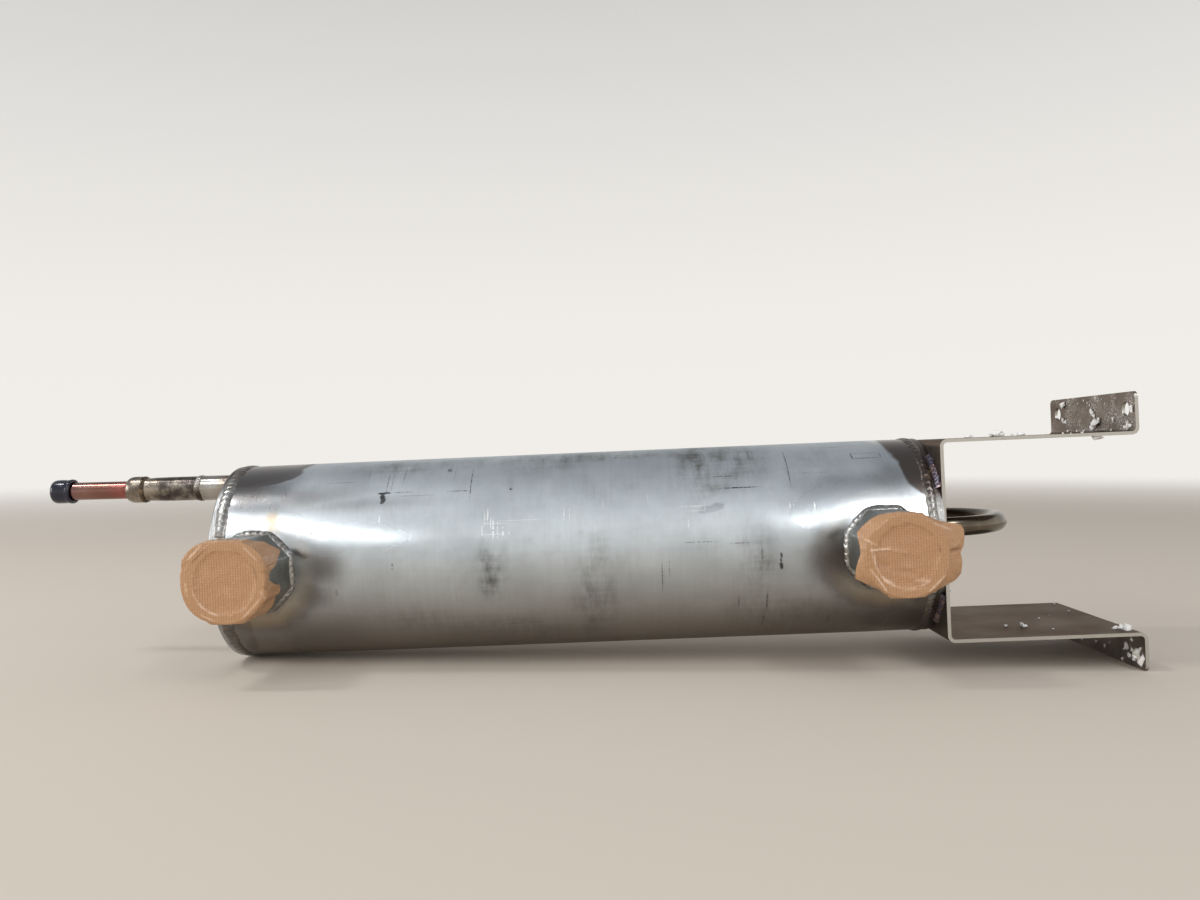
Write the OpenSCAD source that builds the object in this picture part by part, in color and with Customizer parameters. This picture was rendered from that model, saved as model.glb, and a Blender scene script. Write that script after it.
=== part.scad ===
// Welded shell and tube heat exchanger, lying on its side with its two
// water ports towards -Y. Millimetres. The origin is the centre of the four
// bolt holes, on the bolting plane of the bracket's lips, and the shell's
// axis is the X axis. Stations along the vessel count from its left end.

/* [Vessel] */
// Length of the vessel over its two end plates
vessel_l = 600; // [450:1:900]
// Outside diameter of the shell pipe
shell_od = 168.3; // [150:0.1:200]
// Wall of the shell pipe
shell_wall = 2.8; // [2:0.1:7]
// Thickness of each round end plate
plate_t = 8.5; // [6:0.5:16]
// Rounding of the end plates' outer edge
plate_edge_r = 2; // [1:0.5:4]
// Width of the weld bead that joins a plate to the pipe
end_bead_w = 8.5; // [5:0.5:12]
// Height of that bead above the pipe
end_bead_h = 1.3; // [0.8:0.1:2.5]

/* [Ports] */
// Left port's axis, from the vessel's left end
port_left_x = 37.5; // [37:0.5:60]
// Right port's axis, from the vessel's right end
port_right_x = 48; // [42:0.5:120]
// Height of the ports' axes above the shell's axis
port_z = -3; // [-8:0.5:8]
// Width of the octagonal coupling across its flats
port_af = 62; // [56:0.5:66]
// Reach of the coupling's mouth beyond the shell's surface
port_reach = 56; // [35:1:90]
// Bore of the coupling
port_bore = 44; // [30:0.5:46]
// Width of the chamfer at the mouth of the bore
port_chamfer = 4; // [2:0.5:4.5]
// Width of the weld bead around a coupling
port_bead_w = 3.5; // [2.5:0.5:5]
// Height of that bead up the coupling's side
port_bead_h = 3.5; // [2.5:0.5:7]

/* [Tape on the ports] */
// Thickness of the tape and its folds
tape_t = 0.7; // [0.4:0.1:1.5]
// Reach of the tape down the left coupling's flats
tape_left_skirt = 9; // [4:1:20]
// Reach of the tape down the right coupling's flats
tape_right_skirt = 6; // [4:1:20]
// Reach of the left tape's upper flap down the flats
tape_upper_flap = 33; // [10:1:40]
// Reach of the left tape's lower flap down the flats
tape_lower_flap = 27; // [10:1:40]
// Reach of the right tape's torn lobes past the coupling's side
tape_lobe = 12; // [5:0.5:20]

/* [Inlet tube] */
// Depth of the tube's axis below the top of the shell's bore
inlet_drop = 15.35; // [15.3:0.05:40]
// Upward lean of the tube, in degrees
inlet_lean = 0.9; // [0:0.1:1.5]
// Outside diameter of the steel tube
inlet_od = 22.2; // [16:0.1:23]
// Wall of the steel tube
inlet_wall = 1.5; // [1:0.1:3]
// Leg of the fillet weld around the tube, on the left plate
inlet_weld_leg = 4.5; // [2:0.5:5]
// Steel tube outside the left plate
inlet_l = 38; // [25:0.5:120]
// Width of the bead where the steel tube meets the adapter
joint_bead_w = 5.5; // [4:0.5:12]
// Height of that bead above the tube
joint_bead_h = 0.8; // [0.5:0.1:2]
// Outside diameter of the brazed adapter's sleeve
sleeve_od = 21.6; // [16:0.1:22.6]
// Length of the sleeve
sleeve_l = 48.5; // [20:0.5:100]
// Width of the braze ring between sleeve and bell
braze_w = 3; // [1:0.5:6]
// Outside diameter of the reducer's bell
bell_od = 23.6; // [20:0.1:26]
// Length of the bell
bell_l = 14.5; // [12:0.5:30]
// Length of the bell's rounded shoulder
bell_shoulder_l = 7; // [2:0.5:9]
// Outside diameter of the copper stub
stub_od = 15.9; // [10:0.1:17]
// Wall of the copper stub
stub_wall = 1; // [0.8:0.1:2]
// Copper stub outside the bell
stub_l = 65; // [40:1:150]
// Depth of the stub inside the bell
stub_insert = 9; // [5:0.5:10]
// Outside diameter of the vinyl cap
cap_od = 21.9; // [19.5:0.1:25]
// Length of the cap
cap_l = 18.5; // [12:0.5:40]
// Thickness of the cap's closed end
cap_end = 4; // [2:0.5:6]
// Rounding of the cap's closed end
cap_round_r = 3; // [1:0.1:3.5]

/* [Bracket] */
// Thickness of the bracket's sheet
sheet_t = 2.8; // [2:0.1:4]
// Outside radius of its bends
bend_r = 6; // [5:0.5:8]
// Width of the bracket, along Y
bracket_w = 154; // [146:1:190]
// Height over the outside of its two legs
bracket_h = 165.4; // [156:0.2:190]
// Reach of the legs, from the vessel's end to the bolting plane
leg_l = 160; // [100:1:220]
// Top of the upper lip above the shell's axis
lip_top_z = 115; // [112:0.5:140]
// Bottom of the lower lip below the shell's axis
lip_low_z = 111.6; // [111:0.2:140]
// Corner radius of the lips
lip_corner_r = 5; // [2:0.5:5]
// Diameter of the bolt holes
hole_d = 12; // [8:0.5:13]
// Spacing of the bolt holes along Y
hole_pitch_y = 124; // [80:1:128]
// Spacing of the bolt holes along Z
hole_pitch_z = 202; // [200:1:204]
// Leg of the fillet welds between bracket and end plate
stitch_leg = 4; // [2:0.5:5]
// Run of each of those welds round the plate's edge, in degrees
stitch_sweep = 24; // [10:1:25]

/* [Return bend] */
// Outside diameter of the return bend's tube
bend_tube_od = 15.9; // [12:0.1:18]
// Wall of that tube
bend_tube_wall = 1.2; // [0.8:0.1:2]
// Height of the bend above the shell's axis
bend_z = 10.2; // [-20:0.2:30]
// Distance between the axes of its two legs
bend_pitch = 126; // [60:1:128]
// Straight length of each leg outside the bracket
bend_straight = 2; // [1:0.5:20]
// Leg of the fillet weld around each leg
bend_weld_leg = 2.5; // [1.5:0.5:4]

/* [Hidden] */
$fn = 96;
// Running clearance between round faces that touch in the real one
fit = 0.05;
// Clearance of a tube in its hole through a plate
hole_fit = 0.15;
// Extra reach of a cutter past the face that it cuts
past = 1;
// Shares of the port bead's width and height at its two crown points, toe
// first, and the swell that the weld's ripple gives them
crown_w = [0.62, 0.28];
crown_h = [0.3, 0.66];
ripple = 0.14;
// Centre and radius of a fillet's hollow face, as shares of its leg
hollow_at = 1.6;
hollow_r = 1.32;
// Bulge of the braze ring
braze_bulge = 0.8;
// Angles round the left port between which the tape's two flaps lie
upper_flap = [14, 62];
lower_flap = [-68, -8];
// The torn lobes of the right tape, each point as its height in halves of the
// coupling's width and its reach in lobes: the left one from its top down,
// the right one from its foot up
left_lobe = [[0.65, 0.35], [-0.45, 0.45]];
right_lobe = [[-0.45, 1], [0, 0.8], [0.25, 1], [0.7, 1]];
// How far the tear lies inside the coupling's flats at its four corners,
// across and up, in lobes
torn_corner = [0.8, 0.25];
// Length of a tube inside the vessel, past the plate that it enters
inner_l = 15;
// Half the angle that one of the coupling's eight sides takes up
half_side = 22.5;

shell_r = shell_od / 2;
bore_r = shell_r - shell_wall;
inlet_z = bore_r - inlet_drop;
right_x = -leg_l;
left_x = right_x - vessel_l;
pipe_l = vessel_l - 2 * plate_t;
left_port_at = left_x + port_left_x;
right_port_at = right_x - port_right_x;
mouth_y = -(shell_r + port_reach);
flat_r = port_af / 2;
corner_r = flat_r / cos(half_side);
web_outer_x = right_x + sheet_t;

steel = "lightslategray";
bright = "lightgray";
cast_grey = "dimgray";
sheet_grey = "slategray";
tan_tape = "burlywood";

// Puts children that are drawn along +Z on the X axis, pointing to +X
module along_x() {
    rotate([0, 90, 0])
        children();
}

// Puts children that are drawn along +Z on the axis of a port, outwards
module on_port(x) {
    translate([x, 0, port_z])
        rotate([90, 0, 0])
            children();
}

// Puts children that are drawn along +Z on the leaning axis of the inlet
// tube, outwards, from the left plate's outer face
module on_inlet(s = 0) {
    translate([left_x, 0, inlet_z])
        rotate([0, inlet_lean - 90, 0])
            translate([0, 0, s])
                children();
}

// A tube along +Z
module tube(outer_r, inner_r, length) {
    difference() {
        cylinder(r = outer_r, h = length);
        translate([0, 0, -past])
            cylinder(r = inner_r, h = length + 2 * past);
    }
}

// A turned ring along +Z whose outside is an arc: the width and height of
// the bead are the arc's chord and rise, and its foot stands on inner_r
module arc_bead(inner_r, width, height, angle = 360) {
    arc_r = (width * width / 4 + height * height) / (2 * height);
    rotate_extrude(angle = angle)
        intersection() {
            translate([inner_r + height - arc_r, 0])
                circle(r = arc_r, $fn = 64);
            translate([inner_r, -width])
                square([height + past, 2 * width]);
        }
}

// A fillet weld around a tube along +Z, with a slightly hollow face
module fillet_ring(inner_r, leg, angle = 360) {
    rotate_extrude(angle = angle)
        translate([inner_r, 0])
            difference() {
                polygon([[0, 0], [leg, 0], [0, leg]]);
                translate([leg * hollow_at, leg * hollow_at])
                    circle(r = leg * hollow_r, $fn = 64);
            }
}

// Vessel

module shell_pipe() {
    color(steel)
        difference() {
            translate([left_x + plate_t, 0, 0])
                along_x()
                    tube(shell_r, bore_r, pipe_l);
            for (x = [left_port_at, right_port_at])
                on_port(x)
                    cylinder(d = port_bore, h = shell_od);
        }
}

// A round plate along +Z whose far edge is rounded
module end_plate() {
    inset = shell_r - plate_edge_r;
    rotate_extrude()
        union() {
            square([inset, plate_t]);
            square([shell_r, plate_t - plate_edge_r]);
            translate([inset, plate_t - plate_edge_r])
                intersection() {
                    circle(r = plate_edge_r, $fn = 48);
                    square(plate_edge_r);
                }
        }
}

module left_end_plate() {
    color(bright)
        difference() {
            translate([left_x + plate_t, 0, 0])
                rotate([0, -90, 0])
                    end_plate();
            on_inlet(-3 * plate_t)
                cylinder(d = inlet_od + 2 * hole_fit, h = 6 * plate_t);
        }
}

module right_end_plate() {
    color(bright)
        difference() {
            translate([right_x - plate_t, 0, 0])
                along_x()
                    cylinder(r = shell_r, h = plate_t);
            return_legs(bend_tube_od / 2 + hole_fit);
        }
}

// The bead over the joint of pipe and plate. It stops on both sides of a
// port's weld, where that reaches over the joint.
module end_weld(x, port_x, width) {
    keep_off = corner_r + port_bead_w + 2 * fit;
    near = max(abs(x - port_x) - width / 2, 0);
    gap = near < keep_off ? asin(sqrt(pow(keep_off, 2) - pow(near, 2)) / shell_r) : 0;
    middle = 270 - asin(port_z / shell_r);
    color(bright)
        translate([x, 0, 0])
            along_x()
                rotate([0, 0, middle + gap])
                    arc_bead(shell_r + fit, width, end_bead_h, 360 - 2 * gap);
}

module left_end_weld() {
    end_weld(left_x + plate_t, left_port_at, end_bead_w);
}

// On the right, the bead keeps off the fillets that hold the bracket
module right_end_weld() {
    width = min(end_bead_w, 2 * (plate_t - stitch_leg - 2 * fit));
    end_weld(right_x - plate_t, right_port_at, width);
}

// Ports

// The octagon of a coupling's flats along +Z, at the clearance given
module octagon_prism(clearance, height) {
    rotate([0, 0, half_side])
        cylinder(r = (flat_r + clearance) / cos(half_side), h = height, $fn = 8);
}

// Octagonal coupling, saddled on the shell, with a bevelled mouth
module coupling(x) {
    mouth_z = -mouth_y;
    bevel = corner_r - flat_r;
    color(cast_grey)
        difference() {
            on_port(x)
                difference() {
                    intersection() {
                        octagon_prism(0, mouth_z);
                        union() {
                            cylinder(r = corner_r + past, h = mouth_z - bevel);
                            translate([0, 0, mouth_z - bevel])
                                cylinder(r1 = corner_r + fit, r2 = corner_r - bevel + fit, h = bevel);
                        }
                    }
                    translate([0, 0, -past])
                        cylinder(d = port_bore, h = mouth_z + 2 * past);
                    translate([0, 0, mouth_z - port_chamfer])
                        cylinder(d1 = port_bore, d2 = port_bore + 2 * port_chamfer, h = port_chamfer + fit);
                }
            translate([left_x - past, 0, 0])
                along_x()
                    cylinder(r = shell_r + fit, h = vessel_l + 2 * past);
        }
}

module left_port_coupling() {
    coupling(left_port_at);
}

module right_port_coupling() {
    coupling(right_port_at);
}

// Distance from the port's axis to its octagon, at an angle round the axis
function octagon_r(a) = flat_r / cos((a + 360 + half_side) % (2 * half_side) - half_side);

// Depth of the shell's surface at height z
function shell_y(z) = -sqrt(pow(shell_r + fit, 2) - z * z);

// One point of the bead's section: out from the coupling's side and up from
// the shell's surface
function bead_point(x, a, out, up) =
    let (r = octagon_r(a) + fit + out)
    let (z = port_z + r * sin(a))
    [x + r * cos(a), shell_y(z) - up, z];

// The section at one angle. The ripple of the weld swells its crown.
function bead_section(x, a, swell) = [
    bead_point(x, a, 0, fit),
    bead_point(x, a, port_bead_w, fit),
    bead_point(x, a, port_bead_w * (crown_w[0] + swell), port_bead_h * (crown_h[0] + swell)),
    bead_point(x, a, port_bead_w * (crown_w[1] + swell), port_bead_h * (crown_h[1] + swell)),
    bead_point(x, a, 0, port_bead_h)];

// Weld bead in the corner between a coupling and the round shell
module port_weld(x) {
    sides = 5;
    rings = 96;
    step = 360 / rings;
    points = [for (i = [0 : rings - 1]) each bead_section(x, i * step, ripple * (i % 2))];
    faces = [for (i = [0 : rings - 1], k = [0 : sides - 1])
        let (j = (i + 1) % rings)
        let (m = (k + 1) % sides)
        [i * sides + k, j * sides + k, j * sides + m, i * sides + m]];
    color(bright)
        polyhedron(points = points, faces = faces, convexity = 6);
}

module left_port_weld() {
    port_weld(left_port_at);
}

module right_port_weld() {
    port_weld(right_port_at);
}

// Tape pressed over a mouth: a sheet of the given outline and a short skirt
// down the flats. The outline is drawn with X to the right and Y upwards.
// Between the angles of a flap the skirt reaches down further.
module tape(x, skirt, flaps = []) {
    deepest = port_reach - port_bead_h - 2 * tape_t;
    color(tan_tape)
        translate([x, mouth_y - tape_t, port_z])
            rotate([90, 0, 0])
                mirror([0, 0, 1])
                    difference() {
                        union() {
                            octagon_prism(fit + tape_t, tape_t + skirt);
                            linear_extrude(tape_t)
                                children();
                            for (flap = flaps)
                                intersection() {
                                    octagon_prism(fit + tape_t, tape_t + min(flap[1], deepest));
                                    linear_extrude(tape_t + flap[1])
                                        wedge(flap[0]);
                                }
                        }
                        translate([0, 0, tape_t])
                            octagon_prism(fit, shell_od);
                    }
}

// The part of the plane between two angles, out to past the coupling
module wedge(angles) {
    far = 2 * corner_r;
    polygon([
        [0, 0],
        [far * cos(angles[0]), far * sin(angles[0])],
        [far * cos(angles[1]), far * sin(angles[1])]]);
}

module left_port_tape() {
    tape(left_port_at, tape_left_skirt, [[upper_flap, tape_upper_flap], [lower_flap, tape_lower_flap]])
        circle(r = corner_r, $fn = 16);
}

// The right tape is torn: two lobes of it stand out past the coupling
module right_port_tape() {
    corner_x = flat_r - tape_lobe * torn_corner[0];
    corner_z = flat_r - tape_lobe * torn_corner[1];
    tape(right_port_at, tape_right_skirt)
        polygon([
            for (p = left_lobe) [-flat_r - tape_lobe * p[1], flat_r * p[0]],
            [-corner_x, -corner_z],
            [0, -flat_r - past],
            [corner_x, -corner_z],
            for (p = right_lobe) [flat_r + tape_lobe * p[1], flat_r * p[0]],
            [corner_x, corner_z],
            [0, flat_r + past],
            [-corner_x, corner_z]]);
}

// Inlet tube and what is brazed to it

module inlet_tube() {
    color(steel)
        on_inlet(-plate_t - inner_l)
            tube(inlet_od / 2, inlet_od / 2 - inlet_wall, plate_t + inner_l + inlet_l);
}

module inlet_tube_weld() {
    color(bright)
        difference() {
            translate([left_x, 0, inlet_z])
                rotate([0, -90, 0])
                    fillet_ring(inlet_od / 2 - past, inlet_weld_leg + past);
            on_inlet(-plate_t)
                cylinder(r = inlet_od / 2 + fit, h = 3 * plate_t);
        }
}

module joint_bead() {
    color(bright)
        on_inlet(inlet_l)
            arc_bead(max(inlet_od, sleeve_od) / 2 + fit, joint_bead_w, joint_bead_h);
}

module adapter_sleeve() {
    color("rosybrown")
        on_inlet(inlet_l)
            tube(sleeve_od / 2, inlet_od / 2 - inlet_wall, sleeve_l);
}

module braze_ring() {
    color("saddlebrown")
        on_inlet(inlet_l + sleeve_l)
            difference() {
                union() {
                    cylinder(d = bell_od - 2 * braze_bulge, h = braze_w);
                    translate([0, 0, braze_w / 2])
                        arc_bead(bell_od / 2 - braze_bulge - fit, braze_w, braze_bulge);
                }
                translate([0, 0, -past])
                    cylinder(d = stub_od, h = braze_w + 2 * past);
            }
}

// The bell's shoulder falls off as a quarter of an oval to the stub
module reducer_bell() {
    inset = stub_od / 2 + stub_wall / 2;
    straight_l = bell_l - bell_shoulder_l;
    drop = bell_od / 2 - inset;
    color("rosybrown")
        on_inlet(inlet_l + sleeve_l + braze_w)
            difference() {
                rotate_extrude()
                    union() {
                        square([inset, bell_l]);
                        square([bell_od / 2, straight_l]);
                        translate([inset, straight_l])
                            intersection() {
                                scale([drop, bell_shoulder_l])
                                    circle(r = 1, $fn = 48);
                                square([drop, bell_shoulder_l]);
                            }
                    }
                translate([0, 0, -past])
                    cylinder(d = stub_od - 2 * stub_wall, h = bell_l + 2 * past);
                translate([0, 0, bell_l - stub_insert])
                    cylinder(d = stub_od + 2 * fit, h = stub_insert + past);
            }
}

stub_s = inlet_l + sleeve_l + braze_w + bell_l - stub_insert;
stub_end_s = stub_s + stub_insert + stub_l;

module copper_stub() {
    color("lightcoral")
        on_inlet(stub_s)
            tube(stub_od / 2, stub_od / 2 - stub_wall, stub_insert + stub_l);
}

module vinyl_cap() {
    inset = cap_od / 2 - cap_round_r;
    color("midnightblue")
        on_inlet(stub_end_s + cap_end - cap_l)
            difference() {
                rotate_extrude()
                    union() {
                        square([inset, cap_l]);
                        square([cap_od / 2, cap_l - cap_round_r]);
                        translate([inset, cap_l - cap_round_r])
                            intersection() {
                                circle(r = cap_round_r, $fn = 48);
                                square(cap_round_r);
                            }
                    }
                translate([0, 0, -past])
                    cylinder(d = stub_od + 2 * fit, h = cap_l - cap_end + past);
            }
}

// Bracket: one sheet, bent at the web and at both lips

// Quarter of a bend about [x, z]: sx and sz say which quadrant it fills
module bend_quarter(x, z, sx, sz) {
    translate([x, z])
        intersection() {
            difference() {
                circle(r = bend_r, $fn = 64);
                circle(r = bend_r - sheet_t, $fn = 64);
            }
            scale([sx, sz])
                square(bend_r);
        }
}

// Half of the bracket's side view, above the axis, up to the lip's edge
module half_profile(lip_z) {
    leg_z = bracket_h / 2;
    inner_r = bend_r - sheet_t;
    lip_bend_z = leg_z - sheet_t + bend_r;
    translate([right_x, 0])
        square([sheet_t, leg_z - bend_r]);
    bend_quarter(right_x + bend_r, leg_z - bend_r, -1, 1);
    translate([right_x + bend_r, leg_z - sheet_t])
        square([leg_l - 2 * bend_r, sheet_t]);
    bend_quarter(-bend_r, lip_bend_z, 1, -1);
    translate([-sheet_t, lip_bend_z])
        square([sheet_t, lip_z - lip_bend_z]);
}

// What rounds one corner of a lip, at its outer corner [y, z]
module lip_corner(sy, sz, lip_z) {
    y = sy * (bracket_w / 2 - lip_corner_r);
    z = sz * (lip_z - lip_corner_r);
    translate([-sheet_t - past, 0, 0])
        difference() {
            translate([0, min(y, y + sy * (lip_corner_r + past)), min(z, z + sz * (lip_corner_r + past))])
                cube([sheet_t + 2 * past, lip_corner_r + past, lip_corner_r + past]);
            translate([-past, y, z])
                along_x()
                    cylinder(r = lip_corner_r, h = sheet_t + 4 * past);
        }
}

module mounting_bracket() {
    color(sheet_grey)
        difference() {
            translate([0, bracket_w / 2, 0])
                rotate([90, 0, 0])
                    linear_extrude(bracket_w)
                        union() {
                            half_profile(lip_top_z);
                            mirror([0, 1])
                                half_profile(lip_low_z);
                        }
            for (sy = [-1, 1]) {
                lip_corner(sy, 1, lip_top_z);
                lip_corner(sy, -1, lip_low_z);
                for (sz = [-1, 1])
                    translate([-sheet_t - past, sy * hole_pitch_y / 2, sz * hole_pitch_z / 2])
                        along_x()
                            cylinder(d = hole_d, h = sheet_t + 2 * past);
            }
            return_legs(bend_tube_od / 2 + hole_fit);
        }
}

// Four fillets where the web passes the edge of the round end plate. Each
// runs from near the web's side towards its bend, at angles from the Z axis.
module bracket_welds() {
    outer_r = shell_r + fit + stitch_leg;
    to = asin(min((bracket_w / 2 - past) / outer_r, 1));
    from = to - stitch_sweep;
    color(bright)
        for (start = [-from, to, to - 180, -from - 180])
            translate([right_x, 0, 0])
                rotate([start, 0, 0])
                    rotate([0, -90, 0])
                        fillet_ring(shell_r + fit, stitch_leg, stitch_sweep);
}

// Return bend

// The two straight legs of the return bend, at the radius given
module return_legs(r) {
    for (y = [-bend_pitch / 2, bend_pitch / 2])
        translate([right_x - plate_t - inner_l, y, bend_z])
            along_x()
                cylinder(r = r, h = plate_t + inner_l + sheet_t + bend_straight);
}

// The half turn of the return bend, at the tube radius given
module return_turn(r) {
    translate([web_outer_x + bend_straight, 0, bend_z])
        rotate([0, 0, -90])
            rotate_extrude(angle = 180)
                translate([bend_pitch / 2, 0])
                    circle(r = r, $fn = 48);
}

module return_bend() {
    outer_r = bend_tube_od / 2;
    inner_r = outer_r - bend_tube_wall;
    color("darkkhaki")
        difference() {
            union() {
                return_legs(outer_r);
                return_turn(outer_r);
            }
            return_legs(inner_r);
            return_turn(inner_r);
        }
}

module return_bend_welds() {
    color(bright)
        for (y = [-bend_pitch / 2, bend_pitch / 2])
            translate([web_outer_x, y, bend_z])
                along_x()
                    fillet_ring(bend_tube_od / 2 + fit, bend_weld_leg);
}

shell_pipe();
left_end_plate();
left_end_weld();
right_end_plate();
right_end_weld();
left_port_coupling();
left_port_weld();
left_port_tape();
right_port_coupling();
right_port_weld();
right_port_tape();
inlet_tube();
inlet_tube_weld();
joint_bead();
adapter_sleeve();
braze_ring();
reducer_bell();
copper_stub();
vinyl_cap();
mounting_bracket();
bracket_welds();
return_bend();
return_bend_welds();
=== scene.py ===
# Welded shell and tube heat exchanger, lying on its side, dressed for a
# render. Everything is in metres in the CAD's own frame: the shell's axis is
# the X axis, the two ports point to -Y and +Z is up.
import math
import random

import bmesh
import bpy
from mathutils import Matrix, Vector, noise


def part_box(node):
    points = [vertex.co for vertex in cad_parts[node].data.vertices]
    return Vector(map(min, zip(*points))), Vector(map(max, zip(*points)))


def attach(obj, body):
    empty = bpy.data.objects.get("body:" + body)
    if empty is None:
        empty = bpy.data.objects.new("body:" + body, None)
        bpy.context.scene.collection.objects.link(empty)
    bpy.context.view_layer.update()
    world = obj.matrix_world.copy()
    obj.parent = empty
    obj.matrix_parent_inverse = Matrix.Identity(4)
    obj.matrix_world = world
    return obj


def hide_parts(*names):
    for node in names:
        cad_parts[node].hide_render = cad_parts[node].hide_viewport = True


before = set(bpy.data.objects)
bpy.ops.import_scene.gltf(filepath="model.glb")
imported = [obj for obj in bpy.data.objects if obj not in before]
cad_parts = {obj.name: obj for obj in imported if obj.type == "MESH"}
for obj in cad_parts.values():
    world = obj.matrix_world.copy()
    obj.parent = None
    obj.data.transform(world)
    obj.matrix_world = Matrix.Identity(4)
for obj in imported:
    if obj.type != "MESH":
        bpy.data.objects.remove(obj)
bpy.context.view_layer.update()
mm = 0.001

# Camera: a phone held a little above the vessel and left of its middle, with
# a slight roll, as fitted to the outlines of the pipe, ports and bracket.
phone_lens = bpy.data.cameras.new("camera")
phone_lens.sensor_width = 36
phone_lens.lens = 29.1
phone_roll = 0.0424
phone_turn = 0.0226
camera = bpy.data.objects.new("camera", phone_lens)
bpy.context.collection.objects.link(camera)
camera.location = (-0.4174, -0.8685, 0.0849)
camera.rotation_euler = (
    Matrix.Rotation(phone_roll, 3, "Y")
    @ Matrix.Rotation(phone_turn, 3, "Z")
    @ Matrix.Rotation(math.radians(90), 3, "X")
).to_euler()
bpy.context.scene.camera = camera
bpy.context.scene.view_settings.view_transform = "Standard"


# Studio: a pale matt floor under the two points that the vessel rests on, the
# left weld and the lower lip, in a room that is pale at eye level and dimmer
# overhead, with two rows of ceiling lamps that run away from the object, a
# single lamp over the inlet, and a soft light from the far left.
def linear(code):
    """A colour written as an sRGB hex value, in Blender's linear numbers."""
    parts = [int(code[i:i + 2], 16) / 255 for i in (1, 3, 5)]
    return [c / 12.92 if c <= 0.04045 else ((c + 0.055) / 1.055) ** 2.4 for c in parts] + [1]


def add(tree, kind, inputs=None, out=0, stops=None, **settings):
    """Adds a node with its settings and links, and gives one of its outputs."""
    node = tree.nodes.new("ShaderNode" + kind)
    for name, value in settings.items():
        setattr(node, name, value)
    for socket, value in (inputs or {}).items():
        if isinstance(value, bpy.types.NodeSocket):
            tree.links.new(value, node.inputs[socket])
        else:
            node.inputs[socket].default_value = value
    if stops:
        ramp = node.color_ramp.elements
        ramp.remove(ramp[1])
        ramp[0].position = stops[0][0]
        ramp[0].color = linear(stops[0][1])
        for place, colour in stops[1:]:
            ramp.new(place).color = linear(colour)
    return node if out is None else node.outputs[out]


def new_material(name):
    """An empty node material, and its tree."""
    material = bpy.data.materials.new(name)
    material.use_nodes = True
    material.node_tree.nodes.clear()
    return material, material.node_tree


floor_radius = 7
floor_colour = "#d9cfc2"
room_at_eye_level = "#f1eee9"
room_overhead = "#a6a7aa"

rest_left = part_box("left_end_weld")
rest_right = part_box("mounting_bracket")
rest_x = (rest_left[0].x + rest_left[1].x) / 2
sheet_t = 2.8 * mm
lip_x = rest_right[1].x - sheet_t
floor_slope = math.atan2(rest_left[0].z - rest_right[0].z, lip_x - rest_x)

bm = bmesh.new()
bmesh.ops.create_circle(bm, cap_ends=True, segments=128, radius=floor_radius)
bmesh.ops.rotate(bm, verts=bm.verts, matrix=Matrix.Rotation(floor_slope, 3, "Y"))
bmesh.ops.translate(bm, verts=bm.verts, vec=(rest_x, 0, rest_left[0].z))
floor_mesh = bpy.data.meshes.new("floor")
bm.to_mesh(floor_mesh)
bm.free()
floor = bpy.data.objects.new("floor", floor_mesh)
bpy.context.collection.objects.link(floor)

material, tree = new_material("pale matt floor")
where = add(tree, "TexCoord", out="Object")
reach = add(tree, "VectorMath", {0: where}, out="Value", operation="LENGTH")
far = add(tree, "MapRange", {"Value": reach, "From Min": 1.6, "From Max": floor_radius - 1},
          interpolation_type="SMOOTHSTEP")
matt = add(tree, "BsdfPrincipled", {"Base Color": linear(floor_colour), "Roughness": 0.85})
clear = add(tree, "BsdfTransparent")
add(tree, "OutputMaterial", {"Surface": add(tree, "MixShader", {0: far, 1: matt, 2: clear})}, out=None)
floor_mesh.materials.append(material)

room = bpy.data.worlds.new("room")
bpy.context.scene.world = room
room.use_nodes = True
tree = room.node_tree
tree.nodes.clear()
height = add(tree, "SeparateXYZ", {0: add(tree, "TexCoord", out="Generated")}, out="Z")
up = add(tree, "MapRange", {"Value": height, "From Min": 0.05, "From Max": 0.85},
         interpolation_type="SMOOTHSTEP")
tone = add(tree, "Mix", {0: up, 6: linear(room_at_eye_level), 7: linear(room_overhead)}, out=2,
           data_type="RGBA")
add(tree, "OutputWorld", {"Surface": add(tree, "Background", {"Color": tone, "Strength": 1})}, out=None)

vessel_middle = -0.46
lamp_height = 2.4
for side, near_end, far_end, width, watts in (
        (-1, -1.2, -7.2, 0.4, 45), (1, -1.2, -7.2, 0.4, 68), (-1, -0.25, -0.55, 0.5, 14)):
    lamp = bpy.data.lights.new("ceiling_lamp", "AREA")
    lamp.shape = "RECTANGLE"
    lamp.size = width
    lamp.size_y = near_end - far_end
    lamp.energy = watts
    row = bpy.data.objects.new("ceiling_lamp", lamp)
    bpy.context.collection.objects.link(row)
    row.location = (vessel_middle + side * 0.67 * lamp_height, (near_end + far_end) / 2, lamp_height)

lamp = bpy.data.lights.new("left_light", "AREA")
lamp.shape = "SQUARE"
lamp.size = 1.2
lamp.energy = 22
window = bpy.data.objects.new("left_light", lamp)
bpy.context.collection.objects.link(window)
window.location = (-3.2, -0.9, 0.7)
window.rotation_euler = (Vector((vessel_middle, 0, 0)) - window.location).to_track_quat("-Z", "Y").to_euler()

# Shell: a 6 inch stainless pipe, mill finished in the middle, with both ends
# ground and polished before welding. The welds have shrunk it a little, so
# its reflections bend round the ports.
shell_lo, shell_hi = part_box("shell_pipe")
shell_r = shell_hi.z
shell_wall = 2.8 * mm
port_bore = 44 * mm
left_port, right_port = ((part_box(n)[0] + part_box(n)[1]) / 2
                         for n in ("left_port_coupling", "right_port_coupling"))
steps_along = 166
steps_around = 216


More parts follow.
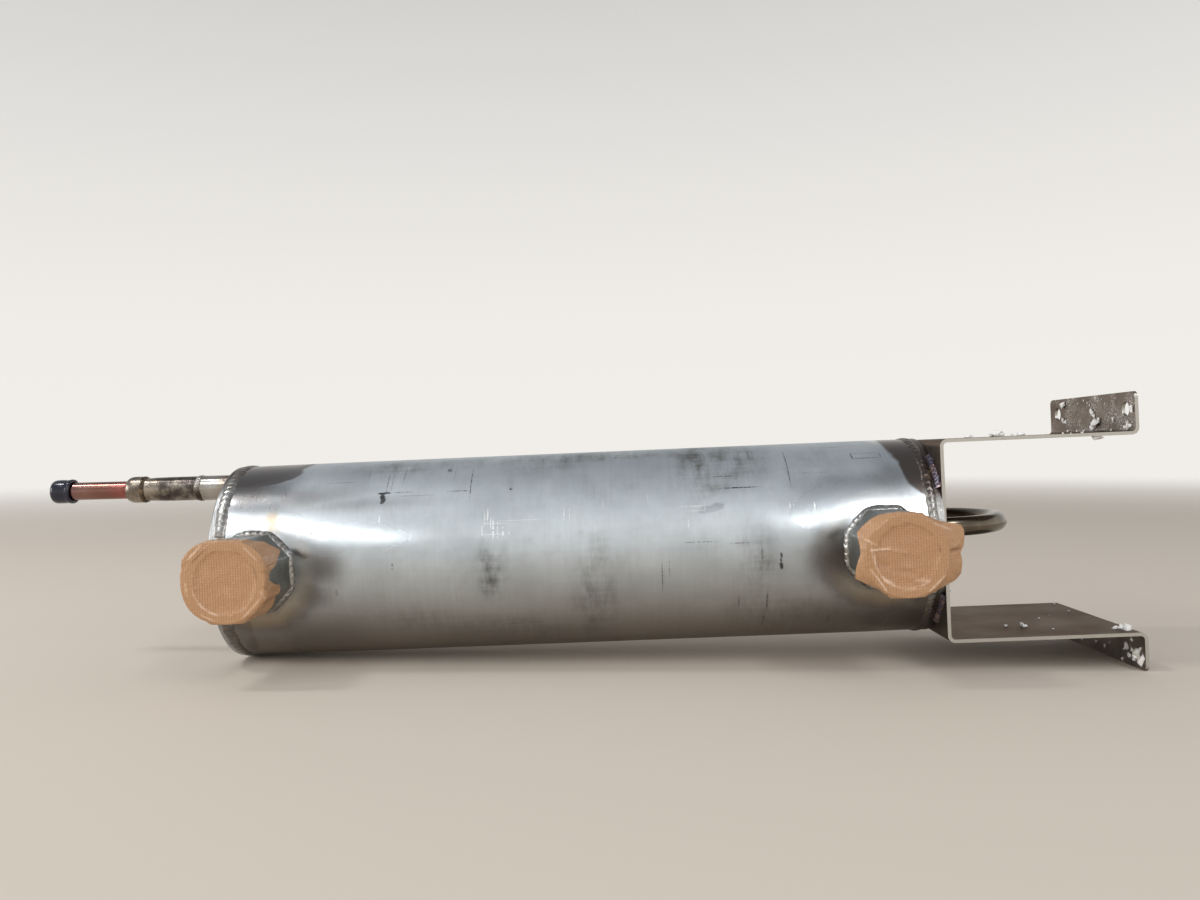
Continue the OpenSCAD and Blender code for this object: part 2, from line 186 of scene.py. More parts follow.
def place(bm, name, material, slot, *nodes, sharp=35):
    """Makes the finished mesh a piece that stands for the CAD nodes."""
    bmesh.ops.recalc_face_normals(bm, faces=bm.faces)
    mesh = bpy.data.meshes.new(name)
    bm.to_mesh(mesh)
    bm.free()
    mesh.shade_smooth()
    mesh.set_sharp_from_angle(angle=math.radians(sharp))
    mesh.materials.append(material)
    piece = bpy.data.objects.new(name, mesh)
    bpy.context.collection.objects.link(piece)
    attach(piece, "root")
    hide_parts(*nodes)
    return piece


def spun(section, steps, centre=(0, 0, 0), axis=(1, 0, 0)):
    """A closed section turned a full round about an axis."""
    bm = bmesh.new()
    verts = [bm.verts.new(point) for point in section]
    edges = [bm.edges.new((verts[i - 1], verts[i])) for i in range(len(verts))]
    bmesh.ops.spin(bm, geom=verts + edges, cent=centre, axis=axis, angle=2 * math.pi,
                   steps=steps, use_merge=True)
    return bm


def fade(value, start, end):
    """0 up to start and 1 from end, with a smooth rise between."""
    t = min(max((value - start) / (end - start), 0), 1)
    return t * t * (3 - 2 * t)


def weld_shrink(x, arc):
    """Depth by which the welds have drawn the pipe in."""
    depth = 0
    for port in (left_port, right_port):
        away = math.hypot(x - port.x, arc - port.z)
        depth += 1 * mm * math.exp(-max(away - 36 * mm, 0) / (14 * mm))
    for end in (shell_lo.x, shell_hi.x):
        depth += 0.3 * mm * math.exp(-abs(x - end) / (14 * mm))
    ground = 1 - fade(min(x - shell_lo.x, shell_hi.x - x), 60 * mm, 200 * mm)
    hollow = noise.noise(Vector((x / (30 * mm), arc / (22 * mm), 3)))
    return min(depth, 1.2 * mm) + (0.02 + 0.07 * ground) * mm * (1 + hollow)


outer = [(shell_lo.x + (shell_hi.x - shell_lo.x) * i / steps_along, 0, shell_r)
         for i in range(steps_along + 1)]
inner = [(x, 0, shell_r - shell_wall) for x in (shell_hi.x, shell_lo.x)]
bm = spun(outer + inner, steps_around)
for vert in bm.verts:
    x, y, z = vert.co
    if math.hypot(y, z) > shell_r - 0.1 * mm:
        arc = shell_r * math.atan2(z, -y)
        ease = 1 - fade(abs(arc), 200 * mm, 250 * mm)
        keep = 1 - weld_shrink(x, arc) * ease / shell_r
        vert.co = (x, y * keep, z * keep)

def spread(tree, value, low, high, least=0.3, most=0.7):
    """Stretches the range that a noise keeps to, so that it runs from low to high."""
    return add(tree, "MapRange", {
        "Value": value, "From Min": least, "From Max": most, "To Min": low, "To Max": high})


def bare_metal(tree, colour, rough, normal):
    """The shader of a bare metal."""
    return add(tree, "BsdfPrincipled", {
        "Base Color": colour, "Metallic": 1, "Roughness": rough, "Normal": normal})


material, tree = new_material("stainless pipe, mill finish with ground ends")
where = add(tree, "TexCoord", out="Object")
xyz = add(tree, "SeparateXYZ", {0: where}, out=None)
x, y, z = xyz.outputs
front = add(tree, "Math", {0: y, 1: -1}, operation="MULTIPLY")
angle = add(tree, "Math", {0: z, 1: front}, operation="ARCTAN2")
arc = add(tree, "Math", {0: angle, 1: shell_r}, operation="MULTIPLY")
skin = add(tree, "CombineXYZ", {"X": x, "Y": arc})
wander = add(tree, "TexNoise", {"Vector": where, "Scale": 55, "Detail": 4, "Roughness": 0.6}, out="Color")
wander = add(tree, "VectorMath", {0: wander, 1: (0.5,) * 3}, operation="SUBTRACT")
wavy = add(tree, "VectorMath", {0: wander, 1: (0.016,) * 3, 2: skin}, operation="MULTIPLY_ADD")
calm = add(tree, "VectorMath", {0: wander, 1: (0.006,) * 3, 2: skin}, operation="MULTIPLY_ADD")


def patches(tree, skin, areas, edge=(1.25, 0.7)):
    """A mask of ovals: x, arc, half width, half height in mm, and strength."""
    mask = None
    for x, arc, wide, high, strength in areas:
        size = (1000 / wide, 1000 / high, 0)
        off = (-x / wide, -arc / high, 0)
        oval = add(tree, "VectorMath", {0: skin, 1: size, 2: off}, operation="MULTIPLY_ADD")
        away = add(tree, "VectorMath", {0: oval}, out="Value", operation="LENGTH")
        one = add(tree, "MapRange", {"Value": away, "From Min": edge[0], "From Max": edge[1],
                                     "To Max": strength}, interpolation_type="SMOOTHSTEP")
        mask = one if mask is None else add(tree, "Math", {0: mask, 1: one}, operation="MAXIMUM")
    return mask


# The bands ground bright: right round each end, and a lobe beside each port
ground = patches(tree, wavy, [
    (-726, 30, 62, 26, 1), (-664, 22, 88, 17, 1), (-735, 0, 42, 400, 0.9), (-208, 30, 92, 34, 1),
    (-172, 0, 35, 400, 0.9), (-527, 21, 13, 6, 0.8), (-346, 36, 12, 4, 0.7)])
# Rubs: short upright scratches through the mill finish, smoother than it and painted white, a painted
# highlight
scratch_highlight = patches(tree, skin, [
    (-532, 34, 0.4, 6, 0.6), (-529.5, 36, 0.5, 8, 0.8), (-527, 30, 0.4, 6, 0.6), (-525, 26, 0.6, 9, 0.8),
    (-521.5, 25, 0.4, 8, 0.6), (-534, 24, 0.4, 7, 0.5), (-517, 23, 0.7, 4, 0.6), (-512, 22, 0.4, 2, 0.5),
    (-526, 21, 9, 0.5, 0.3), (-524, 30, 10, 0.6, 0.25), (-467, 36, 0.5, 6, 0.6), (-462.5, 36, 0.4, 5, 0.5),
    (-619, 37, 0.5, 4, 0.7), (-283, 35, 0.5, 3, 0.6), (-263, 34, 0.6, 3, 0.8), (-505, 32, 24, 0.4, 0.25),
    (-361, 38, 12, 0.6, 0.4), (-357, 34, 9, 0.5, 0.4), (-352, 37, 0.5, 5, 0.4), (-435, 44, 0.4, 5, 0.3),
    (-366, 24, 0.5, 5, 0.3), (-398, 48, 0.4, 6, 0.3)])
# Dark brown patches high up at both ends and low at the right end: weld oxide, and in the polished ends a
# painted reflection of dark things above
burnt = patches(tree, calm, [
    (-745, 128, 54, 52, 0.85), (-735, 98, 40, 22, 0.8), (-150, 112, 44, 74, 1), (-160, 72, 28, 36, 1),
    (-747, -52, 16, 50, 0.4)], edge=(1.05, 0.95))
burnt_low = patches(tree, wavy, [
    (-190, -74, 40, 20, 0.85), (-172, -50, 14, 34, 0.8), (-742, 76, 30, 22, 0.7)], edge=(1.4, 0.5))
burnt = add(tree, "Math", {0: burnt, 1: burnt_low}, operation="MAXIMUM")
# Painted dark reflections in the metal: round the ports, low down and high up near both ends, and as a band
# over the left end's highlight
painted_dark_reflection = patches(tree, calm, [
    (-664, 0, 18, 18, 0.7), (-672, -22, 16, 14, 0.5), (-246, -10, 28, 22, 0.9), (-700, -62, 70, 22, 0.3),
    (-235, -62, 44, 20, 0.4), (-700, 62, 66, 14, 0.65), (-650, 53, 70, 8, 0.4), (-742, 72, 26, 24, 0.45),
    (-195, 60, 26, 12, 0.35)],
                edge=(1.5, 0.1))
# Straw and brown tint over the left port, where the torch passed to the plate
straw = patches(tree, wavy, [(-708, 38, 7, 12, 0.7), (-722, -46, 30, 10, 0.35), (-196, -50, 40, 10, 0.3)],
                edge=(1.4, 0.1))
# Rubbed stains of the yard on the mill finish
grime = patches(tree, wavy, [
    (-528, -8, 12, 26, 1), (-445, -45, 18, 62, 0.7), (-355, 92, 16, 46, 1), (-326, 88, 28, 34, 0.8),
    (-437, 106, 90, 14, 0.7), (-610, 98, 34, 14, 0.7), (-520, -70, 70, 22, 0.5), (-485, 96, 30, 20, 0.4),
    (-590, -55, 36, 16, 0.4), (-310, -10, 16, 34, 0.6), (-300, -60, 44, 20, 0.5), (-345, 56, 18, 9, 0.6),
    (-560, 104, 30, 12, 0.5), (-250, 70, 30, 30, 0.25)], edge=(1.5, 0))
rubbed = add(tree, "VectorMath", {0: where, 1: (95, 34, 34)}, operation="MULTIPLY")
rubbed = add(tree, "TexNoise", {"Vector": rubbed, "Scale": 1, "Detail": 8, "Roughness": 0.68,
                                "Distortion": 0.2}, out="Fac")
# Handling has also wiped it lengthwise
wiped = add(tree, "VectorMath", {0: where, 1: (14, 170, 170)}, operation="MULTIPLY")
wiped = add(tree, "TexNoise", {"Vector": wiped, "Scale": 1, "Detail": 4, "Roughness": 0.6}, out="Fac")
rubbed = add(tree, "Mix", {0: 0.3, 2: rubbed, 3: wiped}, data_type="FLOAT")
smudge = add(tree, "MapRange", {"Value": rubbed, "From Min": 0.4, "From Max": 0.6})
grime = add(tree, "Math", {0: grime, 1: smudge}, operation="MULTIPLY")
# Layout and handling marks: thin dark strokes
strokes = patches(tree, skin, [
    (-590, 59, 16, 0.35, 0.5), (-554, 62, 10, 0.5, 0.9),
    (-545, 72, 0.5, 18, 0.8), (-612, 76, 0.4, 12, 0.4), (-322, 53.5, 17, 0.6, 1), (-280, 76, 0.5, 24, 0.8),
    (-224, 86, 0.6, 5, 0.9), (-213, 82, 11, 0.6, 0.8), (-213, 90, 10, 0.5, 0.6), (-200, 86, 0.6, 4, 0.5),
    (-260, 66, 14, 0.5, 0.4), (-389, -20, 0.6, 13, 0.6),
    (-383, -12, 0.5, 8, 0.4), (-655, -22, 1.2, 3, 0.5), (-608, -2, 1, 3, 0.5), (-306, -70, 1.2, 8, 0.5),
    (-252, -72, 0.8, 8, 0.4), (-673, 28, 2.6, 1, 0.7), (-565, 90, 2, 3, 0.7), (-616, 75, 0.5, 13, 0.6),
    (-603, 85, 0.5, 12, 0.5), (-657, 78, 14, 0.4, 0.5), (-511, 62, 1.4, 1.4, 0.8), (-496, 16, 0.8, 0.8, 0.8),
    (-357, 8, 14, 0.5, 0.5), (-326, 6, 9, 0.5, 0.5), (-308, -4, 0.7, 5, 0.6), (-304, -46, 1, 9, 0.6),
    (-327, -45, 0.6, 6, 0.5), (-602, 63, 9, 0.5, 0.6), (-505, -60, 18, 0.5, 0.4), (-466, 100, 0.5, 9, 0.5),
    (-240, 104, 9, 0.5, 0.5), (-310, 96, 0.6, 12, 0.6), (-334, 66, 10, 0.6, 0.6), (-420, 102, 26, 0.6, 0.5),
    (-560, 84, 0.4, 10, 0.3), (-634, 90, 0.5, 9, 0.4)])
broken = add(tree, "TexNoise", {"Vector": where, "Scale": 700, "Detail": 2}, out="Fac")
broken = add(tree, "MapRange", {"Value": broken, "From Min": 0.38, "From Max": 0.52})
strokes = add(tree, "Math", {0: strokes, 1: broken}, operation="MULTIPLY")
scratch_highlight = add(tree, "Math", {0: scratch_highlight, 1: broken}, operation="MULTIPLY")
# Three knocks, black all over
knocks = patches(tree, calm, [
    (-619.5, 62.4, 3, 1.2, 0.95), (-615.5, 63, 2.6, 0.9, 0.9), (-619, 59, 2, 2.6, 0.95),
    (-618.2, 56, 2.2, 2.8, 0.9), (-618.6, 53.6, 1.8, 1.6, 0.8), (-292.5, -5, 1, 2.6, 0.8),
    (-293, -9.5, 0.7, 2, 0.7), (-293, -14.5, 1.5, 3, 0.9)], edge=(1.3, 0.7))
strokes = add(tree, "Math", {0: strokes, 1: knocks}, operation="MAXIMUM")

# Heat tint: rings of straw, brown and violet oxide round each port
rings = None
for port in (left_port, right_port):
    away = add(tree, "VectorMath", {0: wavy, 1: (port.x, port.z, 0)}, out="Value", operation="DISTANCE")
    rings = away if rings is None else add(tree, "Math", {0: rings, 1: away}, operation="MINIMUM")
tint_place = add(tree, "MapRange", {"Value": rings, "From Min": 0.036, "From Max": 0.076})
tint = add(tree, "ValToRGB", {0: tint_place}, stops=[
    (0, "#6f675f"), (0.14, "#a09480"), (0.32, "#8c8072"), (0.45, "#767070"), (0.6, "#9a9a9d"),
    (0.85, "#bfc2c4")])
tint_share = add(tree, "MapRange", {"Value": tint_place, "From Min": 0.85, "From Max": 0.3, "To Max": 0.7},
                 interpolation_type="SMOOTHSTEP")
below = add(tree, "MapRange", {"Value": arc, "From Min": 0.03, "From Max": -0.03, "To Min": 0.25})
tint_share = add(tree, "Math", {0: tint_share, 1: below}, operation="MULTIPLY")

# Fine lines right round the pipe from the mill's rollers, 1.5 to 3 mm apart
lines = add(tree, "VectorMath", {0: where, 1: (620, 9, 9)}, operation="MULTIPLY")
streaks = add(tree, "TexNoise", {"Vector": lines, "Scale": 1, "Detail": 3, "Roughness": 0.65}, out="Fac")
cloud = add(tree, "TexNoise", {"Vector": where, "Scale": 16, "Detail": 5, "Roughness": 0.6}, out="Fac")
cloud_dark = add(tree, "MapRange", {"Value": cloud, "From Min": 0.38, "From Max": 0.68})
streak_dark = add(tree, "MapRange", {"Value": streaks, "From Min": 0.36, "From Max": 0.66})

colour = add(tree, "Mix", {0: cloud_dark, 6: linear("#cdd5da"), 7: linear("#b5bdc2")}, out=2,
             data_type="RGBA")
smears = add(tree, "MapRange", {"Value": rubbed, "From Min": 0.5, "From Max": 0.75, "To Max": 0.4})
colour = add(tree, "Mix", {0: smears, 6: colour, 7: linear("#a4a6a8")}, out=2, data_type="RGBA")
streak_dark = add(tree, "Math", {0: streak_dark, 1: 0.2}, operation="MULTIPLY")
colour = add(tree, "Mix", {0: streak_dark, 6: colour, 7: linear("#bcbfc1")}, out=2, data_type="RGBA")
# Painted reflection: the lower side is painted darker and browner towards the bottom, as the floor below
# would mirror in it, with some grime
floor_reflection_and_grime = add(tree, "MapRange", {"Value": z, "From Min": 0.01, "From Max": -0.085},
               interpolation_type="SMOOTHSTEP")
colour = add(tree, "Mix", {0: floor_reflection_and_grime, 6: colour, 7: linear("#8d847b")}, out=2, data_type="RGBA")
colour = add(tree, "Mix", {0: tint_share, 6: colour, 7: tint}, out=2, data_type="RGBA")
colour = add(tree, "Mix", {0: straw, 6: colour, 7: linear("#a28c6a")}, out=2, data_type="RGBA")
colour = add(tree, "Mix", {0: grime, 6: colour, 7: linear("#72726f")}, out=2, data_type="RGBA")
# Painted dark reflections
colour = add(tree, "Mix", {0: painted_dark_reflection, 6: colour, 7: linear("#5f5854")}, out=2, data_type="RGBA")
# Weld oxide, with painted dark reflections in the polished ends
colour = add(tree, "Mix", {0: burnt, 6: colour, 7: linear("#635c58")}, out=2, data_type="RGBA")
colour = add(tree, "Mix", {0: strokes, 6: colour, 7: linear("#3a3a3c")}, out=2, data_type="RGBA")
# The scratches painted white: a painted highlight
colour = add(tree, "Mix", {0: scratch_highlight, 6: colour, 7: linear("#ffffff")}, out=2, data_type="RGBA")

gloss = spread(tree, streaks, 0.44, 0.53)
polish = spread(tree, cloud, 0.17, 0.27)
rough = add(tree, "Mix", {0: ground, 2: gloss, 3: polish}, data_type="FLOAT")
rough = add(tree, "Math", {0: grime, 1: 0.12, 2: rough}, operation="MULTIPLY_ADD")
rough = add(tree, "Mix", {0: scratch_highlight, 2: rough, 3: 0.34}, data_type="FLOAT")
normal = add(tree, "Bump", {"Height": streaks, "Distance": 0.000012, "Strength": 1})
steel = bare_metal(tree, colour, rough, normal)
add(tree, "OutputMaterial", {"Surface": steel}, out=None)
shell = place(bm, "shell", material, "stainless_shell", "shell_pipe")

# The two holes that the couplings stand over
bm = bmesh.new()
for port in (left_port, right_port):
    lies = Matrix.Translation((port.x, -shell_r, port.z)) @ Matrix.Rotation(math.radians(90), 4, "X")
    bmesh.ops.create_cone(bm, cap_ends=True, segments=64, radius1=port_bore / 2, radius2=port_bore / 2,
                          depth=0.08, matrix=lies)
drill_mesh = bpy.data.meshes.new("drill")
bm.to_mesh(drill_mesh)
bm.free()
drill = bpy.data.objects.new("drill", drill_mesh)
bpy.context.collection.objects.link(drill)
cut = shell.modifiers.new("holes", "BOOLEAN")
cut.object = drill
cut.solver = "EXACT"
holed = bpy.data.meshes.new_from_object(shell.evaluated_get(bpy.context.evaluated_depsgraph_get()))
shell.modifiers.clear()
shell.data = holed
bpy.data.objects.remove(drill)

# End plates: discs cut from 8.5 mm stainless plate, with a cold rolled face
# and an edge dressed round with a grinder.
material, tree = new_material("stainless plate, cold rolled")
where = add(tree, "TexCoord", out="Object")
grain = add(tree, "VectorMath", {0: where, 1: (300, 14, 500)}, operation="MULTIPLY")
rolled = add(tree, "TexNoise", {"Vector": grain, "Scale": 1, "Detail": 3}, out="Fac")
cloud = add(tree, "TexNoise", {"Vector": where, "Scale": 22, "Detail": 5}, out="Fac")
colour = add(tree, "ValToRGB", {0: cloud}, stops=[(0.3, "#b4b6b7"), (0.55, "#a1a1a0"), (0.75, "#8b8580")])
# The edges are brown from the welds: high up, and on the right also below
x, y, z = add(tree, "SeparateXYZ", {0: where}, out=None).outputs
spoke = add(tree, "CombineXYZ", {"Y": y, "Z": z})
from_axis = add(tree, "VectorMath", {0: spoke}, out="Value", operation="LENGTH")
near_edge = add(tree, "MapRange", {"Value": from_axis, "From Min": 0.066, "From Max": 0.08})
at_right = add(tree, "MapRange", {"Value": x, "From Min": -0.3, "From Max": -0.29})
limit = add(tree, "Mix", {0: at_right, 2: 0.062, 3: 0.024}, data_type="FLOAT")
over = add(tree, "Math", {0: z, 1: limit}, operation="SUBTRACT")
high_up = add(tree, "MapRange", {"Value": over, "From Min": 0, "From Max": 0.016})
low_down = add(tree, "MapRange", {"Value": z, "From Min": -0.03, "From Max": -0.045})
low_down = add(tree, "Math", {0: low_down, 1: at_right}, operation="MULTIPLY")
heated = add(tree, "Math", {0: high_up, 1: low_down}, operation="MAXIMUM")
heated = add(tree, "Math", {0: heated, 1: near_edge}, operation="MULTIPLY")
oxide = add(tree, "ValToRGB", {0: cloud}, stops=[(0.35, "#5a5350"), (0.5, "#4c4643"), (0.65, "#6a6058")])
colour = add(tree, "Mix", {0: heated, 6: colour, 7: oxide}, out=2, data_type="RGBA")
rough = spread(tree, rolled, 0.3, 0.45)
normal = add(tree, "Bump", {"Height": rolled, "Distance": 0.00002, "Strength": 1})
steel = bare_metal(tree, colour, rough, normal)
add(tree, "OutputMaterial", {"Surface": steel}, out=None)


def dress(node, material):
    """Gives a CAD node that keeps its own shape its finish."""
    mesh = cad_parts[node].data
    mesh.materials.clear()
    mesh.materials.append(material)


dress("left_end_plate", material)
dress("right_end_plate", material)

# Weld beads: TIG welds of stainless rod, laid as a row of overlapping coins.
# They are bright where they were brushed, and brown to black where the heat's
# oxide was left on: high up and underneath.
material, tree = new_material("stainless TIG weld, brushed")
where = add(tree, "TexCoord", out="Object")
x, y, z = add(tree, "SeparateXYZ", {0: where}, out=None).outputs
drift = add(tree, "TexNoise", {"Vector": where, "Scale": 130, "Detail": 3}, out="Fac")
colour = add(tree, "ValToRGB", {0: drift}, stops=[(0.35, "#c0c1c0"), (0.52, "#a6a5a2"), (0.68, "#8a857e")])
# Between the coins and along both toes the brush has not reached
crest = add(tree, "Attribute", attribute_name="crest", attribute_type="GEOMETRY", out="Fac")
missed = add(tree, "MapRange", {"Value": crest, "From Min": 0.36, "From Max": 0.06, "To Max": 0.5})
colour = add(tree, "Mix", {0: missed, 6: colour, 7: linear("#5f5b57")}, out=2, data_type="RGBA")
oxide = add(tree, "ValToRGB", {0: drift}, stops=[(0.35, "#6d6661"), (0.5, "#57504c"), (0.65, "#7d7166")])
at_right = add(tree, "MapRange", {"Value": x, "From Min": -0.3, "From Max": -0.29})
limit = add(tree, "Mix", {0: at_right, 2: 0.066, 3: 0.028}, data_type="FLOAT")
over = add(tree, "Math", {0: z, 1: limit}, operation="SUBTRACT")
high_up = add(tree, "MapRange", {"Value": over, "From Min": 0, "From Max": 0.016})
low_down = add(tree, "MapRange", {"Value": z, "From Min": -0.03, "From Max": -0.05, "To Max": 0.8})
uncleaned = add(tree, "Math", {0: high_up, 1: low_down}, operation="MAXIMUM")
colour = add(tree, "Mix", {0: uncleaned, 6: colour, 7: oxide}, out=2, data_type="RGBA")
rough = spread(tree, drift, 0.24, 0.38)
fine = add(tree, "TexNoise", {"Vector": where, "Scale": 900, "Detail": 2}, out="Fac")
normal = add(tree, "Bump", {"Height": fine, "Distance": 0.00006, "Strength": 1})
steel = bare_metal(tree, colour, rough, normal)
add(tree, "OutputMaterial", {"Surface": steel}, out=None)
weld_steel = material


def weld(bm, feet, length, pitch, rise, ripple, closed, seed, samples=10, across=10, bow=0.8):
    """Adds a weld bead. feet(t) gives both feet, the root below and the way up.

    The crown is a row of coins: each starts steeply and runs out flat, and
    their edges bow back from the middle of the bead. ripple is the share of
    the bead's rise that the coins take up.
    """
    layers = bm.verts.layers.float
    crest_layer = layers.get("crest") or layers.new("crest")
    coins = max(round(length / pitch), 1)
    grid = bmesh.ops.create_grid(bm, x_segments=coins * samples, y_segments=across + 2, size=0.5)["verts"]
    for vert in grid:
        t = vert.co.x + 0.5
        row = round((vert.co.y + 0.5) * (across + 2))
        first, last, root, up = feet(t)
        if row == across + 1:
            vert.co = root
            continue
        v = (row % (across + 2)) / across
        turn = 2 * math.pi * t
        way = Vector((math.cos(turn), math.sin(turn), seed)) * (length / (2 * math.pi * 14 * mm))
        lump = noise.noise(way)
        phase = t * coins + bow * (2 * v - 1) ** 2 + 0.35 * noise.noise(way * 2)
        coin = phase % 1
        crest = fade(coin, 0, 0.2) * (1 - coin) ** 0.8
        end = 1 if closed else fade(min(t, 1 - t) * length, 0, 3 * mm)
        dome = max(1 - (2 * v - 1) ** 2, 0) ** 0.7
        depth = ripple * (0.8 + 0.4 * lump)
        swell = rise * end * dome * (1 - depth + depth * crest + 0.12 * (lump - 0.8))
        side = 0.16 * noise.noise(way * 3 + Vector((0, 0, 7))) * (1 - dome)
        vert.co = first.lerp(last, v + side) + up * swell
        vert[crest_layer] = crest * dome
    bmesh.ops.remove_doubles(bm, verts=grid, dist=0.000005)
    if not closed:
        bmesh.ops.holes_fill(bm, edges=bm.edges)


def ring(centre, axis, first, last, root, start=0, sweep=2 * math.pi):
    """The feet of a bead round an axis, each as its distance from the axis
    and its station along it. Angles start at -Y for the X axis."""
    axis = Vector(axis).normalized()
    side = axis.cross(Vector((0, 0, 1))).normalized()
    other = side.cross(axis)

    def feet(t):
        a = start + sweep * t
        way = side * math.cos(a) + other * math.sin(a)
        up = way * (last[1] - first[1]) - axis * (last[0] - first[0])
        if up.dot(way) < 0:
            up = -up
        at = [centre + way * foot[0] + axis * foot[1] for foot in (first, last, root)]
        return (*at, up.normalized())
    return feet


end_bead_h = 1.3 * mm
bead_sunk = 0.6 * mm
root_sunk = 1.6 * mm
coupling_flat = 31 * mm
port_bead = 3.5 * mm
keep_off = coupling_flat / math.cos(math.radians(22.5)) + port_bead
for name, node, port, width, pitch, ripple, seed in (
        ("left_end_bead", "left_end_weld", left_port, 10.5 * mm, 5.6 * mm, 0.27, 1),
        ("right_end_bead", "right_end_weld", right_port, 8.5 * mm, 6 * mm, 0.34, 2)):
    lo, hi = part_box(node)
    x = (lo.x + hi.x) / 2
    near = max(abs(x - port.x) - width / 2, 0)
    gap = math.asin(math.sqrt(keep_off ** 2 - near ** 2) / shell_r)
    sweep = 2 * math.pi - 2 * gap
    foot = shell_r - bead_sunk
    feet = ring(Vector((x, 0, 0)), (1, 0, 0), (foot, -width / 2), (foot, width / 2),
                (shell_r - root_sunk, 0), math.asin(port.z / shell_r) + gap, sweep)
    bm = bmesh.new()
    weld(bm, feet, sweep * shell_r, pitch, end_bead_h + bead_sunk - 0.1 * mm, ripple, False, seed)
    place(bm, name, weld_steel, "weld_bead", node, sharp=60)

# Couplings: forged stainless half couplings with eight flats, blasted grey,
# set straight on the shell. Their arrises are broken, so they catch the light.
material, tree = new_material("forged stainless, blasted")
where = add(tree, "TexCoord", out="Object")
cloud = add(tree, "TexNoise", {"Vector": where, "Scale": 40, "Detail": 5}, out="Fac")
grit = add(tree, "TexNoise", {"Vector": where, "Scale": 1300, "Detail": 2}, out="Fac")
colour = add(tree, "ValToRGB", {0: cloud}, stops=[(0.3, "#abadab"), (0.5, "#979995"), (0.7, "#7e7f7a")])
rough = spread(tree, cloud, 0.4, 0.52)
normal = add(tree, "Bump", {"Height": grit, "Distance": 0.00008, "Strength": 1})
steel = bare_metal(tree, colour, rough, normal)
add(tree, "OutputMaterial", {"Surface": steel}, out=None)

mouth_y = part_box("left_port_coupling")[0].y
coupling_depth = 66 * mm
arris = 1.1 * mm
mouth_chamfer = 4 * mm
mouth_cone = 2.6 * mm
flat_cuts = 9
for name, node, port in (("left_coupling", "left_port_coupling", left_port),
                         ("right_coupling", "right_port_coupling", right_port)):
    bm = bmesh.new()
    corner = coupling_flat / math.cos(math.radians(22.5))
    bmesh.ops.create_circle(bm, segments=8, radius=corner,
                            matrix=Matrix.Rotation(math.radians(22.5), 4, "Z"))
    bmesh.ops.bevel(bm, geom=bm.verts, offset=arris, affect="VERTICES", segments=4, profile=0.5, material=-1)
    flats = [e for e in bm.edges if e.calc_length() > 5 * mm]
    bmesh.ops.subdivide_edges(bm, edges=flats, cuts=flat_cuts)
    # The mouth is turned in a lathe, so a cone takes its eight corners off
    rims = [list(bm.edges)]
    for depth in (0.35 * mm, 1.4 * mm, mouth_cone, coupling_depth):
        grown = bmesh.ops.extrude_edge_only(bm, edges=rims[-1])["geom"]
        rims.append([e for e in grown if isinstance(e, bmesh.types.BMEdge) and len(e.link_faces) == 1])
        for vert in {v for e in rims[-1] for v in e.verts}:
            vert.co.z = -depth
    for vert in bm.verts:
        depth = -vert.co.z
        lip = coupling_flat - (0.3 * mm if depth == 0 else 0)
        radius = math.hypot(vert.co.x, vert.co.y)
        keep = min(radius, lip + depth) / radius if depth < mouth_cone else 1
        vert.co = (vert.co.x * keep, vert.co.y * keep, vert.co.z)
    bores = []
    for depth, radius in ((0, port_bore / 2 + mouth_chamfer), (mouth_chamfer, port_bore / 2),
                          (coupling_depth, port_bore / 2)):
        bore = bmesh.ops.create_circle(bm, segments=96, radius=radius,
                                       matrix=Matrix.Translation((0, 0, -depth)))["verts"]
        bores.append([e for e in {e for v in bore for e in v.link_edges}])
    for one, other in ((rims[0], bores[0]), (bores[0], bores[1]), (bores[1], bores[2]), (bores[2], rims[-1])):
        bmesh.ops.bridge_loops(bm, edges=one + other)
    bmesh.ops.rotate(bm, verts=bm.verts, matrix=Matrix.Rotation(math.radians(90), 3, "X"))
    bmesh.ops.translate(bm, verts=bm.verts, vec=(port.x, mouth_y, port.z))
    place(bm, name, material, "cast_fitting", node, sharp=40)


def octagon(a):
    """Distance from a port's axis to the coupling's side, at an angle."""
    return coupling_flat / math.cos((a + math.radians(22.5)) % math.radians(45) - math.radians(22.5))


def round_the_port(port):
    """The feet of the bead in the corner between a coupling and the shell."""
    def feet(t):
        a = 2 * math.pi * t
        way = Vector((math.cos(a), 0, math.sin(a)))

        def over_shell(r, lift):
            x, z = port.x + r * math.cos(a), port.z + r * math.sin(a)
            skin_r = shell_r - weld_shrink(x, shell_r * math.asin(z / shell_r)) + lift
            return Vector((x, -math.sqrt(skin_r ** 2 - z * z), z))
        side = octagon(a)
        uneven = noise.noise(way * 3.1 + Vector((port.x * 90, 0, 0))) * 0.9 * mm
        toe = (side + coupling_flat * 1.04) / 2 + port_bead - 0.5 * mm + uneven
        return (over_shell(toe, -0.25 * mm), over_shell(side - 0.3 * mm, port_bead),
                over_shell(side - 2 * mm, -1 * mm), (way + Vector((0, -1, 0))).normalized())
    return feet


for name, node, port, ripple, seed in (("left_port_bead", "left_port_weld", left_port, 0.6, 3),
                                       ("right_port_bead", "right_port_weld", right_port, 0.42, 4)):
    bm = bmesh.new()
    weld(bm, round_the_port(port), 2 * math.pi * (coupling_flat + port_bead), 5.6 * mm, 1.25 * mm,
         ripple, True, seed)
    place(bm, name, weld_steel, "weld_bead", node, sharp=60)

# Port tapes: pieces of tan fibre tape pressed over the mouths to keep dirt
# out. The mouth's rim has printed through, and the edges are folded and torn.
material, tree = new_material("tan fibre tape")
flat = add(tree, "UVMap", uv_map="flat")
u, v = add(tree, "SeparateXYZ", {0: flat}, out=None).outputs[:2]
